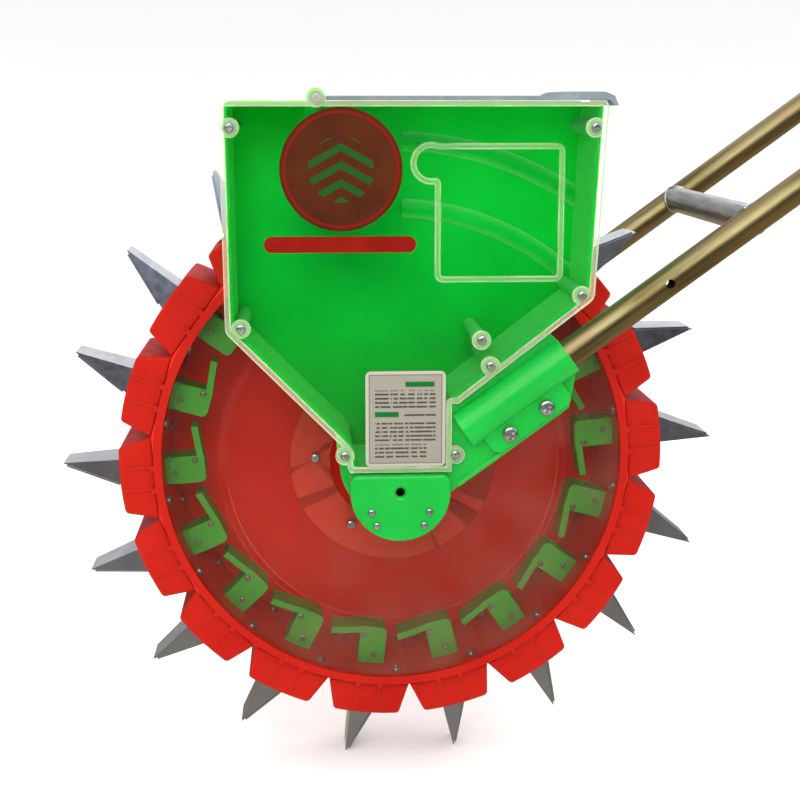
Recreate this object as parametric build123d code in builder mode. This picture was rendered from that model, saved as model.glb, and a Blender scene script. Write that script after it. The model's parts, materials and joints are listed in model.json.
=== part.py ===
"""Walk-behind seed planter: a roller wheel with opening beaks, a seed hopper and a push handle.

Frame: the origin is the middle of the wheel on the axle line. X points back along the ground
towards the person pushing, Y runs along the axle away from the hopper, Z points up. Millimetres.
"""
from build123d import *
import os
from math import cos, degrees, hypot, radians, sin, sqrt, tan

os.makedirs("parts", exist_ok=True)

# Wheel sizes
mouths = 18
first_spoke_angle = 4.1
rim_inner_radius = 190.0
rim_flat_radius = 196.0
rim_half_width = 50.0
rim_joint_gap = 0.2
block_top_radius = 225.0
block_top_length = 55.8
block_foot_gap = 0.7
block_corner_radius = 4.0
block_rib_height = 1.0
block_rib_width = 1.6
block_rib_end_gap = 4.5
block_edge_chamfer = 1.5
pitch_angle = 360.0 / mouths

# Beak sizes, across the rim (along) and along the axle (wide)
beak_tip_radius = 275.0
beak_lead_offset = 12.0
beak_base_length = 26.0
beak_tip_thickness = 2.4
beak_root_width = 44.0
beak_tip_width = 34.0
beak_sheet = 1.5
beak_gap = 0.4
beak_flange_width = 54.0
beak_flange_length = 36.0
beak_seat_clearance = 0.2
beak_full_width_start = 9.0
beak_tip_setback = 2.5
movable_cheek_depth = 8.0
movable_cheek_gap = 0.9
movable_cheek_end_gap = 11.7
movable_cheek_bend_gap = 23.4
beak_ear_margin = 1.0
knuckle_diameter = 7.5
knuckle_length = 24.0
knuckle_below_top = 7.0
hinge_pin_diameter = 4.0
hinge_pin_near_reach = 30.0
pin_hole_clearance = 0.03
knuckle_clearance = 0.05
spring_pin_clearance = 0.2
spring_wire = 1.1
spring_end_gap = 0.6
chute_side_clearance = 0.4
chute_lead_clearance = 0.3
chute_swing_room = 6.0

# Seed spoon sizes
spoon_near_face = 23.0
spoon_depth = 26.0
spoon_inner_radius = 157.0
spoon_lead = 13.0
spoon_trail = 10.0
spoon_wall = 2.0
spoon_finger_length = 25.0
spoon_finger_thickness = 5.5
spoon_finger_rise = 3.0
spoon_boss_radius = 3.2
spoon_screw_diameter = 2.5
spoon_screw_head = 4.8
spoon_screw_height = 1.8
spoon_screw_length = 4.5
spoon_boss_depth = 5.0
spoon_mouth_length = 12.0
spoon_corner_radius = 5.0
spoon_tab_height = 1.2
spoon_tab_end_radius = 7.0
spoon_tab_end_gap = 3.0
spoon_screw_spots = [(164.5, -6.5), (181.5, 3.7)]

# Shape of every screw head, as shares of its diameter and height
screw_slot_length = 0.62
screw_slot_width = 0.18
screw_slot_depth = 0.6
screw_dome = 0.6

# Block screws, driven outwards from inside the rim
block_screw_angle = 7.0
block_screw_offset = 38.0
block_screw_diameter = 4.2
block_screw_head = 8.4
block_screw_head_height = 3.0
block_screw_reach = 14.0

# Side discs, collar and hub
disc_sheet = 3.0
disc_outer_radius = 195.0
disc_step_outer = 145.4
disc_step_inner = 138.5
disc_step_height = 5.0
disc_bore_radius = 52.0
retaining_inner_radius = 189.5
retaining_outer_radius = 196.5
retaining_thickness = 3.0
retaining_tab_length = 4.5
retaining_tab_width = 3.0
retaining_edge_radius = 0.8
collar_outer_radius = 84.5
collar_thickness = 4.0
collar_screw_circle = 64.0
collar_screw_count = 6
collar_screw_angle = 57.0
collar_screw_diameter = 3.5
collar_screw_head = 7.0
collar_screw_height = 2.4
back_disc_thickness = 3.0
back_disc_radius = 198.0
back_rib_height = 4.0
back_rib_width = 3.0
back_rib_count = 9
back_rib_inner = 56.0
back_rib_outer = 184.0
back_ring_radius = 120.0
hub_radius = 22.0
hub_near_end = 5.0
hub_far_end = 60.0
hub_flange_radius = 52.0
hub_flange_thickness = 5.0
hub_screw_circle = 42.0
hub_screw_count = 6
hub_screw_diameter = 4.0
hub_screw_head = 8.0
hub_screw_height = 2.6
hub_bore_radius = 12.5
bearing_outer_radius = 16.0
bearing_width = 9.0
bearing_clearance = 0.03
bearing_setback = 2.0
bearing_ring_width = 2.5
bearing_shield_depth = 0.6

# Axle
axle_radius = 7.5
axle_bore_radius = 3.5
axle_fit = 0.05
axle_near_end = -157.0
axle_far_end = 114.0
axle_stub_radius = 7.0
axle_end_chamfer = 1.0
nut_chamfer = 1.0
washer_radius = 14.0
washer_thickness = 2.0
nut_width = 22.0
nut_height = 9.0
circlip_radius = 11.0
circlip_thickness = 1.5

# Hopper, seen from the near side; points are across (X) and up (Z)
hopper_front = -150.0
hopper_back = -70.0
hopper_wall = 3.0
hopper_top = 291.0
hopper_left_top = -128.0
hopper_right_top = 150.0
hopper_left_knee = (-126.6, 123.5)
hopper_right_knee = (142.5, 147.0)
hopper_right_foot = (39.0, 67.0)
hopper_floor = 14.3
hopper_left_foot = (-38.5, 34.0)
hopper_floor_left = -36.0
hopper_corner_radius = 6.0
mouth_left = -69.0
mouth_wall = 3.0
tub_rib_radii = [208.0, 260.0]
tub_rib_width = 15.0
tub_rib_height = 5.0
tub_rib_left = 6.0
nose_radius = 38.0
nose_plate = 8.0
arm_seam = 0.3
axle_boss_radius = 13.5
axle_boss_back = -62.0
window_half_width = 20.0
window_bottom = 19.0
window_top = 34.0
spout_outer_radius = 44.0
spout_plate = 3.0
spout_wall = 3.5
spout_reach = 14.0

# Hopper cover and its screws, at (X, Z)
cover_sheet = 3.0
cover_overhang = 3.0
cover_rim_width = 4.0
cover_rim_height = 2.0
cover_boss_radius = 7.0
cover_boss_height = 2.0
cover_screw_places = [
    (-123.5, 271.5),
    (143.5, 271.5),
    (-118.0, 125.0),
    (136.0, 148.0),
    (-41.8, 27.5),
    (68.0, 95.5),
    (61.0, 115.0),
    (42.0, 27.5),
]
cover_screw_diameter = 3.5
cover_screw_head = 7.0
cover_screw_head_height = 2.5
cover_screw_length = 16.0
cover_screw_end_gap = 1.0
screw_post_radius = 5.5
screw_hole_clearance = 0.25
panel_left = 26.0
panel_right = 121.0
panel_bottom = 159.0
panel_top = 260.0
panel_bead = 3.6
panel_bead_height = 1.4
panel_lobe_radius = 15.0
panel_lobe_place = (23.0, 246.0)

# Lid on the hopper mouth
lid_hinge_place = (-60.5, 293.5)
hinge_eye_radius = 7.3
hinge_eye_thickness = 5.0
lid_barrel_radius = 4.5
lid_pin_diameter = 4.0
lid_sheet = 3.0
lid_rest_gap = 0.3
lid_side_gap = 0.5
lid_overhang_front = 4.0
lid_overhang_back = 2.0
lid_right_end = 154.0
lid_eye_clearance = 1.2
lid_pad_start = 114.0
lid_pad_end = 150.0
lid_pad_height = 3.0
lid_pad_radius = 12.0
lid_lip_drop = 4.0

# Axle cap
cap_thickness = 12.0
cap_radius = 38.0
cap_top = 13.0
cap_edge_radius = 2.0
cap_corner_radius = 6.0
cap_pocket_depth = 7.0
cap_countersink_radius = 5.5
cap_screw_places = [(-22.0, -15.2), (-18.0, -25.5), (22.0, -15.2), (18.0, -25.5)]
cap_screw_diameter = 3.0
cap_screw_head = 5.6
cap_screw_height = 2.0
cap_screw_length = 17.0

# Handle tubes, measured along them from the point nearest the axle
tube_radius = 11.0
tube_wall = 1.5
tube_slope = 36.1
tube_above_axle = 8.2
tube_gauge = 246.0
push_bar_place = 1100.0
crossbar_place = 334.0
tube_hole_place = 255.0
tube_hole_radius = 3.5
push_bar_length = 480.0
grip_radius = 16.0
grip_length = 100.0
grip_end = 4.0
grip_edge_radius = 3.0

# Arms and clamps that hold the tubes; sizes along (s) and across (n) the tubes
arm_plate = 8.0
arm_low = -33.5
arm_high = 24.0
arm_start = 10.0
arm_lip_width = 3.0
arm_lip_height = 2.0
arm_end_points = [(141.0, -33.5), (162.5, -13.0), (164.0, 10.5), (161.0, 24.0)]
trough_wall = 3.5
trough_lead_in = 6.0
tube_grip_clearance = 0.05
clamp_hopper_gap = 0.8
clamp_end_wall = 2.0
clamp_end = 163.0
clamp_wall = 3.8
clamp_flange_start = 75.0
clamp_flange_end = 147.0
clamp_flange_low = -30.2
clamp_flange_thickness = 5.0
clamp_flange_radius = 6.0
clamp_screw_places = [(93.0, -22.3), (127.0, -22.3)]
clamp_screw_diameter = 6.0
clamp_screw_head = 12.0
clamp_screw_head_height = 4.0
clamp_screw_length = 12.0
far_arm_foot_radius = 30.0
far_arm_boss_radius = 16.0
far_boss_gap = 3.0

# Spec plate and decal on the cover
plate_left = -26.0
plate_right = 34.4
plate_bottom = 18.6
plate_top = 92.0
plate_thickness = 0.6
plate_corner_radius = 4.0
decal_place = (-43.0, 241.5)
decal_radius = 45.0
decal_thickness = 0.4

# Values worked out from the sizes above
near_tube_y = hopper_front
far_tube_y = hopper_front + tube_gauge
clamp_reach = (tube_radius + clamp_wall + tube_above_axle) * sin(radians(tube_slope))
clamp_start = (hopper_right_foot[0] + clamp_hopper_gap + clamp_reach) / cos(radians(tube_slope))
tube_start = clamp_start + clamp_end_wall
trough_start = tube_start - trough_lead_in
spring_inner_diameter = hinge_pin_diameter + 2 * spring_pin_clearance
spring_outer_diameter = spring_inner_diameter + 2 * spring_wire
block_foot_half = rim_flat_radius * tan(radians(pitch_angle / 2)) - block_foot_gap / 2
block_top_half = block_top_length / 2
block_shoulder_radius = sqrt(block_top_radius**2 - block_top_half**2)
trail_base = (block_top_radius - knuckle_below_top / 2, beak_base_length - beak_lead_offset)
trail_tip = (beak_tip_radius, beak_tip_thickness - beak_lead_offset)
trail_length = hypot(trail_tip[0] - trail_base[0], trail_tip[1] - trail_base[1])
trail_out = (trail_tip[0] - trail_base[0]) / trail_length
trail_back = (trail_tip[1] - trail_base[1]) / trail_length
hinge_radius = knuckle_diameter / 2
hinge_along = -knuckle_below_top / 2 / trail_out
hinge_place = (
    trail_base[0] + hinge_along * trail_out + hinge_radius * trail_back,
    trail_base[1] + hinge_along * trail_back - hinge_radius * trail_out,
)
chute_lead = -beak_lead_offset - chute_lead_clearance
chute_trail = trail_base[1] + chute_swing_room
chute_half_width = beak_root_width / 2 + chute_side_clearance
flange_top = rim_flat_radius + beak_sheet
cover_front = hopper_front - cover_sheet
disc_front = -rim_half_width - disc_sheet
disc_face = disc_front - disc_step_height
lid_bottom = hopper_top + lid_rest_gap
far_arm_inner = far_tube_y - arm_plate


def side_plane(y):
    """View plane from the near side at axle position y: X across, Z up, normal towards the viewer."""
    return Plane.XZ.offset(-y)


def tube_plane(y):
    """Side plane turned to run along the handle tubes: s along the tube, n across it."""
    slope = radians(tube_slope)
    foot = (-tube_above_axle * sin(slope), y, tube_above_axle * cos(slope))
    return Plane(origin=foot, x_dir=(cos(slope), 0, sin(slope)), z_dir=(0, -1, 0))


def tube_section(s, y):
    """Plane square across a handle tube at distance s along it."""
    along = tube_plane(y)
    return Plane(origin=along.from_local_coords((s, 0, 0)), x_dir=(0, 1, 0), z_dir=along.x_dir)


def trail_point(along, inward):
    """Point on the beak's trailing face, in the spoke frame, moved inwards square to that face."""
    return (
        trail_base[0] + along * trail_out + inward * trail_back,
        trail_base[1] + along * trail_back - inward * trail_out,
    )


def hopper_outline():
    """Corner points of the hopper, from the top left corner round to the left knee."""
    return [
        (hopper_left_top, hopper_top),
        (hopper_right_top, hopper_top),
        hopper_right_knee,
        hopper_right_foot,
        (hopper_right_foot[0], hopper_floor),
        (hopper_floor_left, hopper_floor),
        hopper_left_foot,
        hopper_left_knee,
    ]


def cover_face():
    """Face of the clear cover: it stands out past the tub, but not above it, below it or beside the clamp."""
    reach = hopper_right_top - hopper_left_top
    with BuildSketch() as face:
        Polygon(*hopper_outline(), align=None)
        fillet(face.vertices(), hopper_corner_radius)
        offset(amount=cover_overhang)
        with Locations((0, hopper_top)):
            Rectangle(2 * reach, reach, align=(Align.CENTER, Align.MIN), mode=Mode.SUBTRACT)
        with Locations((0, hopper_floor)):
            Rectangle(2 * reach, reach, align=(Align.CENTER, Align.MAX), mode=Mode.SUBTRACT)
        with Locations(hopper_right_foot):
            Rectangle(reach, reach, align=(Align.MIN, Align.MAX), mode=Mode.SUBTRACT)
    return face.sketch


def pan_head_screw(shank_diameter, head_diameter, head_height, length):
    """One screw standing on the origin: domed head above, cross recess, shank below."""
    slot_length = screw_slot_length * head_diameter
    slot_width = screw_slot_width * head_diameter
    with BuildPart() as screw:
        Cylinder(head_diameter / 2, head_height, align=(Align.CENTER, Align.CENTER, Align.MIN))
        fillet(screw.edges().group_by(Axis.Z)[-1], screw_dome * head_height)
        Cylinder(shank_diameter / 2, length, align=(Align.CENTER, Align.CENTER, Align.MAX))
        with BuildSketch(Plane.XY.offset(head_height)):
            Rectangle(slot_length, slot_width)
            Rectangle(slot_width, slot_length)
        extrude(amount=-screw_slot_depth * head_height, mode=Mode.SUBTRACT)
    return screw.part


# One rim segment in the spoke frame: x out along the spoke, y along the rim, z to the near side.
# It is round inside and flat outside, with a window to the chute and two screw holes.
half_pitch = radians(pitch_angle / 2)
segment_half = rim_flat_radius * tan(half_pitch) - rim_joint_gap / 2
segment_root = rim_inner_radius - spoon_corner_radius
root_half = segment_root * tan(half_pitch) - rim_joint_gap / 2
window_near = chute_half_width - spoon_wall
window_far = spoon_near_face - spoon_depth + spoon_wall
with BuildPart() as segment:
    with BuildSketch(Plane.XY.offset(-rim_half_width)):
        Polygon(
            (segment_root, -root_half),
            (rim_flat_radius, -segment_half),
            (rim_flat_radius, segment_half),
            (segment_root, root_half),
            align=None,
        )
        Circle(rim_inner_radius, mode=Mode.SUBTRACT)
    extrude(amount=2 * rim_half_width)
    with BuildSketch(Plane.YZ):
        with Locations(((spoon_lead - spoon_trail) / 2, (window_near + window_far) / 2)):
            Rectangle(spoon_lead + spoon_trail - 2 * spoon_wall, window_near - window_far)
    extrude(amount=beak_tip_radius, mode=Mode.SUBTRACT)
    for side in (1, -1):
        with Locations(Location((0, 0, side * block_screw_offset), (0, 0, side * block_screw_angle))):
            Cylinder(
                block_screw_diameter / 2,
                block_top_radius,
                rotation=(0, 90, 0),
                align=(Align.CENTER, Align.CENTER, Align.MIN),
                mode=Mode.SUBTRACT,
            )
with BuildPart(Plane.XZ) as rim_segments:
    with PolarLocations(0, mouths, start_angle=first_spoke_angle):
        add(segment.part)
rim_segments.part.label = "rim_segments"
export_step(rim_segments.part, "parts/rim_segments.step")

# One rim block in the same frame
with BuildPart() as block:
    with BuildSketch(Plane.XY.offset(-rim_half_width)):
        with BuildLine():
            Polyline(
                (block_shoulder_radius, -block_top_half),
                (rim_flat_radius, -block_foot_half),
                (rim_flat_radius, block_foot_half),
                (block_shoulder_radius, block_top_half),
            )
            ThreePointArc(
                (block_shoulder_radius, block_top_half),
                (block_top_radius, 0),
                (block_shoulder_radius, -block_top_half),
            )
        make_face()
    extrude(amount=2 * rim_half_width)
    fillet(
        block.edges().filter_by(Axis.Z).group_by(Axis.X)[-1],
        block_corner_radius,
    )
    chamfer(
        block.faces().sort_by(Axis.Z)[-1].edges() + block.faces().sort_by(Axis.Z)[0].edges(),
        block_edge_chamfer,
    )
    with BuildSketch(Plane.XY.offset(rim_half_width), Plane.XY.offset(-rim_half_width).reverse()):
        with Locations(
            ((rim_flat_radius + block_shoulder_radius) / 2, block_top_half / 3),
            ((rim_flat_radius + block_shoulder_radius) / 2, -block_top_half / 3),
        ):
            Rectangle(block_shoulder_radius - rim_flat_radius - block_rib_end_gap, block_rib_width)
    extrude(amount=block_rib_height)
    with Locations((rim_flat_radius, (chute_lead + chute_trail) / 2, 0)):
        Box(
            block_top_radius,
            chute_trail - chute_lead,
            2 * chute_half_width,
            mode=Mode.SUBTRACT,
        )
    with Locations((rim_flat_radius, 0, 0)):
        Box(
            2 * (beak_sheet + beak_seat_clearance),
            beak_flange_length + 2 * beak_seat_clearance,
            beak_flange_width + 2 * beak_seat_clearance,
            mode=Mode.SUBTRACT,
        )
    with Locations((hinge_place[0], hinge_place[1], hinge_pin_near_reach)):
        Cylinder(
            hinge_pin_diameter / 2 + pin_hole_clearance,
            2 * (rim_half_width + hinge_pin_near_reach),
            align=(Align.CENTER, Align.CENTER, Align.MAX),
            mode=Mode.SUBTRACT,
        )
    for side in (1, -1):
        with Locations(Location((0, 0, side * block_screw_offset), (0, 0, side * block_screw_angle))):
            Cylinder(
                block_screw_diameter / 2,
                rim_flat_radius + block_screw_reach,
                rotation=(0, 90, 0),
                align=(Align.CENTER, Align.CENTER, Align.MIN),
                mode=Mode.SUBTRACT,
            )
with BuildPart(Plane.XZ) as rim_blocks:
    with PolarLocations(0, mouths, start_angle=first_spoke_angle):
        add(block.part)
rim_blocks.part.label = "rim_blocks"
export_step(rim_blocks.part, "parts/rim_blocks.step")

# Screws that hold each block, heads inside the rim
block_screw = pan_head_screw(
    block_screw_diameter, block_screw_head, block_screw_head_height,
    rim_flat_radius + block_screw_reach - rim_inner_radius,
)
block_screw_seat = sqrt(rim_inner_radius**2 - (block_screw_head / 2) ** 2)
with BuildPart(Plane.XZ) as block_screws:
    for side in (1, -1):
        with PolarLocations(0, mouths, start_angle=first_spoke_angle + side * block_screw_angle):
            with Locations(Location((block_screw_seat, 0, side * block_screw_offset), (0, -90, 0))):
                add(block_screw)
block_screws.part.label = "block_screws"
export_step(block_screws.part, "parts/block_screws.step")

# Beak taper: both halves narrow from the block to the tip
taper_start = block_top_radius
taper_half = (beak_root_width - beak_tip_width) / 2
taper_slope = taper_half / (beak_tip_radius - taper_start)


def beak_taper_cut(inset):
    """The two wedges outside the beak's tapering sides, moved in by inset, in the spoke frame."""
    half = beak_root_width / 2 - inset
    run = beak_tip_radius - taper_start + beak_root_width
    with BuildPart() as cut:
        with BuildSketch(Plane.XZ):
            with BuildLine():
                Polyline(
                    (0, half),
                    (taper_start, half),
                    (taper_start + run, half - taper_slope * run),
                    (taper_start + run, beak_root_width),
                    (0, beak_root_width),
                    close=True,
                )
            make_face()
        extrude(amount=beak_root_width, both=True)
        mirror(about=Plane.XY)
    return cut.part


# One fixed beak half: lead plate, two cheeks with pin ears, and a flange under the block
ear_top = hinge_place[0] + hinge_radius + beak_ear_margin
ear_out = hinge_place[1] + hinge_radius
inner_offset = beak_sheet + beak_gap
tip_edge = trail_point(trail_length, inner_offset)
cheek_top = trail_point(beak_full_width_start - 2 * beak_gap, inner_offset)
fixed_outline = [
    (flange_top - beak_sheet, -beak_lead_offset),
    (beak_tip_radius, -beak_lead_offset),
    (beak_tip_radius, tip_edge[1]),
    cheek_top,
    (ear_top, ear_out - 2 * beak_sheet),
    (ear_top, ear_out),
    (hinge_place[0] - hinge_radius, ear_out),
    (hinge_place[0] - 2 * hinge_radius, hinge_place[1]),
    (flange_top - beak_sheet, hinge_place[1]),
]
outer_taper = beak_taper_cut(0)
fixed_room_taper = beak_taper_cut(beak_sheet)
with BuildPart() as fixed_room:
    with BuildSketch(Plane.XY):
        with Locations((beak_tip_radius, beak_sheet - beak_lead_offset)):
            Rectangle(
                2 * (beak_tip_radius - rim_inner_radius),
                2 * beak_base_length,
                align=(Align.CENTER, Align.MIN),
            )
    extrude(amount=beak_root_width / 2 - beak_sheet, both=True)
    add(fixed_room_taper, mode=Mode.SUBTRACT)
with BuildPart() as fixed_half:
    with BuildSketch(Plane.XY):
        Polygon(*fixed_outline, align=None)
    extrude(amount=beak_root_width / 2, both=True)
    add(outer_taper, mode=Mode.SUBTRACT)
    add(fixed_room.part, mode=Mode.SUBTRACT)
    with BuildSketch(Plane.YZ.offset(flange_top - beak_sheet)):
        Rectangle(beak_flange_length, beak_flange_width)
        with Locations(((hinge_place[1] - beak_lead_offset + beak_sheet) / 2, 0)):
            Rectangle(
                hinge_place[1] + beak_lead_offset - beak_sheet,
                beak_root_width - 2 * beak_sheet,
                mode=Mode.SUBTRACT,
            )
    extrude(amount=beak_sheet)
    with Locations((hinge_place[0], hinge_place[1], 0)):
        Cylinder(hinge_pin_diameter / 2 + pin_hole_clearance, 2 * beak_root_width, mode=Mode.SUBTRACT)
with BuildPart(Plane.XZ) as fixed_beaks:
    with PolarLocations(0, mouths, start_angle=first_spoke_angle):
        add(fixed_half.part)
fixed_beaks.part.label = "fixed_beaks"
export_step(fixed_beaks.part, "parts/fixed_beaks.step")

# One movable beak half: trailing plate, two inner cheeks and a knuckle round the pin
plate_end = trail_length - beak_tip_setback
cheek_outer_taper = beak_taper_cut(beak_sheet + movable_cheek_gap)
cheek_inner_taper = beak_taper_cut(2 * beak_sheet + movable_cheek_gap)
with BuildPart() as cheek_room:
    Box(4 * beak_tip_radius, 4 * beak_root_width, beak_root_width)
    add(cheek_inner_taper, mode=Mode.SUBTRACT)
with BuildPart() as movable_cheeks:
    with BuildSketch(Plane.XY):
        Polygon(
            trail_point(beak_full_width_start, beak_sheet),
            trail_point(trail_length - movable_cheek_end_gap, beak_sheet),
            trail_point(trail_length - movable_cheek_bend_gap, movable_cheek_depth),
            trail_point(beak_full_width_start, movable_cheek_depth),
            align=None,
        )
    extrude(amount=beak_root_width / 2, both=True)
    add(cheek_outer_taper, mode=Mode.SUBTRACT)
    add(cheek_room.part, mode=Mode.SUBTRACT)
with BuildPart() as movable_half:
    with BuildSketch(Plane.XY):
        Polygon(
            trail_point(beak_full_width_start, 0),
            trail_point(plate_end, 0),
            trail_point(plate_end, beak_sheet),
            trail_point(beak_full_width_start, beak_sheet),
            align=None,
        )
    extrude(amount=beak_root_width / 2, both=True)
    add(outer_taper, mode=Mode.SUBTRACT)
    add(movable_cheeks.part)
    with BuildSketch(Plane.XY):
        Polygon(
            trail_point(hinge_along, 0),
            trail_point(beak_full_width_start + beak_sheet, 0),
            trail_point(beak_full_width_start + beak_sheet, beak_sheet),
            trail_point(hinge_along, beak_sheet),
            align=None,
        )
        with Locations(hinge_place):
            Circle(hinge_radius)
    extrude(amount=knuckle_length / 2, both=True)
    with Locations((hinge_place[0], hinge_place[1], 0)):
        Cylinder(hinge_pin_diameter / 2 + knuckle_clearance, beak_root_width, mode=Mode.SUBTRACT)
for mouth in range(mouths):
    beak_name = f"movable_beak_{mouth + 1:02d}"
    with BuildPart(Plane.XZ) as movable_beak:
        with PolarLocations(0, 1, start_angle=first_spoke_angle + mouth * pitch_angle):
            add(movable_half.part)
    movable_beak.part.label = beak_name
    export_step(movable_beak.part, f"parts/{beak_name}.step")

# Hinge pins, driven in from the far side, and the closed coils that shut the beaks
with BuildPart() as pin:
    with Locations((hinge_place[0], hinge_place[1], hinge_pin_near_reach)):
        Cylinder(
            hinge_pin_diameter / 2,
            rim_half_width + hinge_pin_near_reach,
            align=(Align.CENTER, Align.CENTER, Align.MAX),
        )
with BuildPart(Plane.XZ) as beak_hinge_pins:
    with PolarLocations(0, mouths, start_angle=first_spoke_angle):
        add(pin.part)
beak_hinge_pins.part.label = "beak_hinge_pins"
export_step(beak_hinge_pins.part, "parts/beak_hinge_pins.step")

spring_room = beak_root_width / 2 - beak_sheet - knuckle_length / 2
with BuildPart() as coil:
    with BuildSketch(Plane.XY.offset(knuckle_length / 2 + spring_end_gap)):
        with Locations(hinge_place):
            Circle(spring_outer_diameter / 2)
            Circle(spring_inner_diameter / 2, mode=Mode.SUBTRACT)
    extrude(amount=spring_room - 2 * spring_end_gap)
with BuildPart(Plane.XZ) as beak_springs:
    with PolarLocations(0, mouths, start_angle=first_spoke_angle):
        add(coil.part)
beak_springs.part.label = "beak_springs"
export_step(beak_springs.part, "parts/beak_springs.step")

# One seed spoon: a cup over the rim window, a finger that trails into the seed, a raised near face
spoon_far_face = spoon_near_face - spoon_depth
spoon_base_face = spoon_near_face - spoon_tab_height
spoon_middle = (spoon_lead - spoon_trail) / 2
finger_outline = [
    (spoon_inner_radius, -spoon_trail + spoon_corner_radius),
    (spoon_inner_radius + spoon_finger_rise, -spoon_trail - spoon_finger_length),
    (spoon_inner_radius + spoon_finger_rise + spoon_finger_thickness, -spoon_trail - spoon_finger_length),
    (spoon_inner_radius + spoon_finger_thickness, -spoon_trail + spoon_corner_radius),
]
with BuildPart() as spoon:
    with BuildSketch(Plane.XY.offset(spoon_far_face)) as spoon_profile:
        with Locations((spoon_inner_radius, spoon_middle)):
            Rectangle(
                2 * (rim_inner_radius - spoon_inner_radius),
                spoon_lead + spoon_trail,
                align=(Align.MIN, Align.CENTER),
            )
        fillet(spoon_profile.vertices().group_by(Axis.X)[0].sort_by(Axis.Y)[-1], spoon_corner_radius)
        Polygon(*finger_outline, align=None)
        Circle(rim_inner_radius, mode=Mode.INTERSECT)
    extrude(amount=spoon_base_face - spoon_far_face)
    with BuildSketch(Plane.XY.offset(spoon_base_face)) as spoon_tab:
        with Locations((spoon_inner_radius, spoon_middle)):
            Rectangle(
                rim_inner_radius - spoon_tab_end_gap - spoon_inner_radius,
                spoon_lead + spoon_trail,
                align=(Align.MIN, Align.CENTER),
            )
        fillet(spoon_tab.vertices().group_by(Axis.X)[-1], spoon_tab_end_radius)
        fillet(spoon_tab.vertices().group_by(Axis.X)[0].sort_by(Axis.Y)[-1], spoon_corner_radius)
        Polygon(*finger_outline, align=None)
    extrude(amount=spoon_tab_height)
    with BuildSketch(Plane.XY.offset(spoon_far_face + spoon_wall)):
        with Locations((spoon_inner_radius + spoon_finger_thickness, spoon_middle)):
            Rectangle(
                rim_inner_radius,
                spoon_lead + spoon_trail - 2 * spoon_wall,
                align=(Align.MIN, Align.CENTER),
            )
    extrude(amount=spoon_base_face - spoon_far_face - 2 * spoon_wall, mode=Mode.SUBTRACT)
    with BuildSketch(Plane.XY.offset(spoon_far_face + spoon_wall)):
        with Locations((spoon_inner_radius + spoon_finger_thickness, spoon_lead - 2 * spoon_wall)):
            Rectangle(spoon_mouth_length, 4 * spoon_wall, align=(Align.MIN, Align.MIN))
    extrude(amount=spoon_base_face - spoon_far_face - 2 * spoon_wall, mode=Mode.SUBTRACT)
    with BuildSketch(Plane.XY.offset(spoon_base_face)):
        with Locations(*spoon_screw_spots):
            Circle(spoon_boss_radius)
    extrude(amount=spoon_tab_height - spoon_boss_depth)
    with Locations(*[(x, y, spoon_near_face) for x, y in spoon_screw_spots]):
        Cylinder(
            spoon_screw_diameter / 2,
            spoon_screw_length,
            align=(Align.CENTER, Align.CENTER, Align.MAX),
            mode=Mode.SUBTRACT,
        )
with BuildPart(Plane.XZ) as seed_spoons:
    with PolarLocations(0, mouths, start_angle=first_spoke_angle):
        add(spoon.part)
seed_spoons.part.label = "seed_spoons"
export_step(seed_spoons.part, "parts/seed_spoons.step")

spoon_screw = pan_head_screw(
    spoon_screw_diameter, spoon_screw_head, spoon_screw_height, spoon_screw_length
)
with BuildPart(Plane.XZ) as spoon_screws:
    with PolarLocations(0, mouths, start_angle=first_spoke_angle):
        with Locations(*[(x, y, spoon_near_face) for x, y in spoon_screw_spots]):
            add(spoon_screw)
spoon_screws.part.label = "spoon_screws"
export_step(spoon_screws.part, "parts/spoon_screws.step")

# Clear side disc, with its raised middle
with BuildPart() as clear_side_disc:
    with BuildSketch(Plane.XY):
        with BuildLine():
            Polyline(
                (disc_outer_radius, -rim_half_width),
                (disc_outer_radius, disc_front),
                (disc_step_outer, disc_front),
                (disc_step_inner, disc_face),
                (disc_bore_radius, disc_face),
                (disc_bore_radius, disc_face + disc_sheet),
                (disc_step_inner - disc_sheet / 2, disc_face + disc_sheet),
                (disc_step_outer - disc_sheet / 2, -rim_half_width),
                close=True,
            )
        make_face()
    revolve(axis=Axis.Y)
    with BuildSketch(side_plane(-rim_half_width)):
        with PolarLocations(collar_screw_circle, collar_screw_count, start_angle=collar_screw_angle):
            Circle(collar_screw_diameter / 2)
    extrude(amount=rim_half_width, mode=Mode.SUBTRACT)
clear_side_disc.part.label = "clear_side_disc"
export_step(clear_side_disc.part, "parts/clear_side_disc.step")

# Ring that holds the clear disc on the rim, with two small tabs at each block
retaining_tab_angle = degrees(block_top_half / 3 / retaining_outer_radius)
with BuildPart() as disc_retaining_ring:
    with BuildSketch(side_plane(disc_front)):
        Circle(retaining_outer_radius)
        for tab_angle in (retaining_tab_angle, -retaining_tab_angle):
            with PolarLocations(retaining_outer_radius, mouths, start_angle=first_spoke_angle + tab_angle):
                Rectangle(2 * retaining_tab_width, retaining_tab_length)
        Circle(retaining_inner_radius, mode=Mode.SUBTRACT)
    extrude(amount=retaining_thickness)
    fillet(disc_retaining_ring.faces().sort_by(Axis.Y)[0].edges(), retaining_edge_radius)
disc_retaining_ring.part.label = "disc_retaining_ring"
export_step(disc_retaining_ring.part, "parts/disc_retaining_ring.step")

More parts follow.
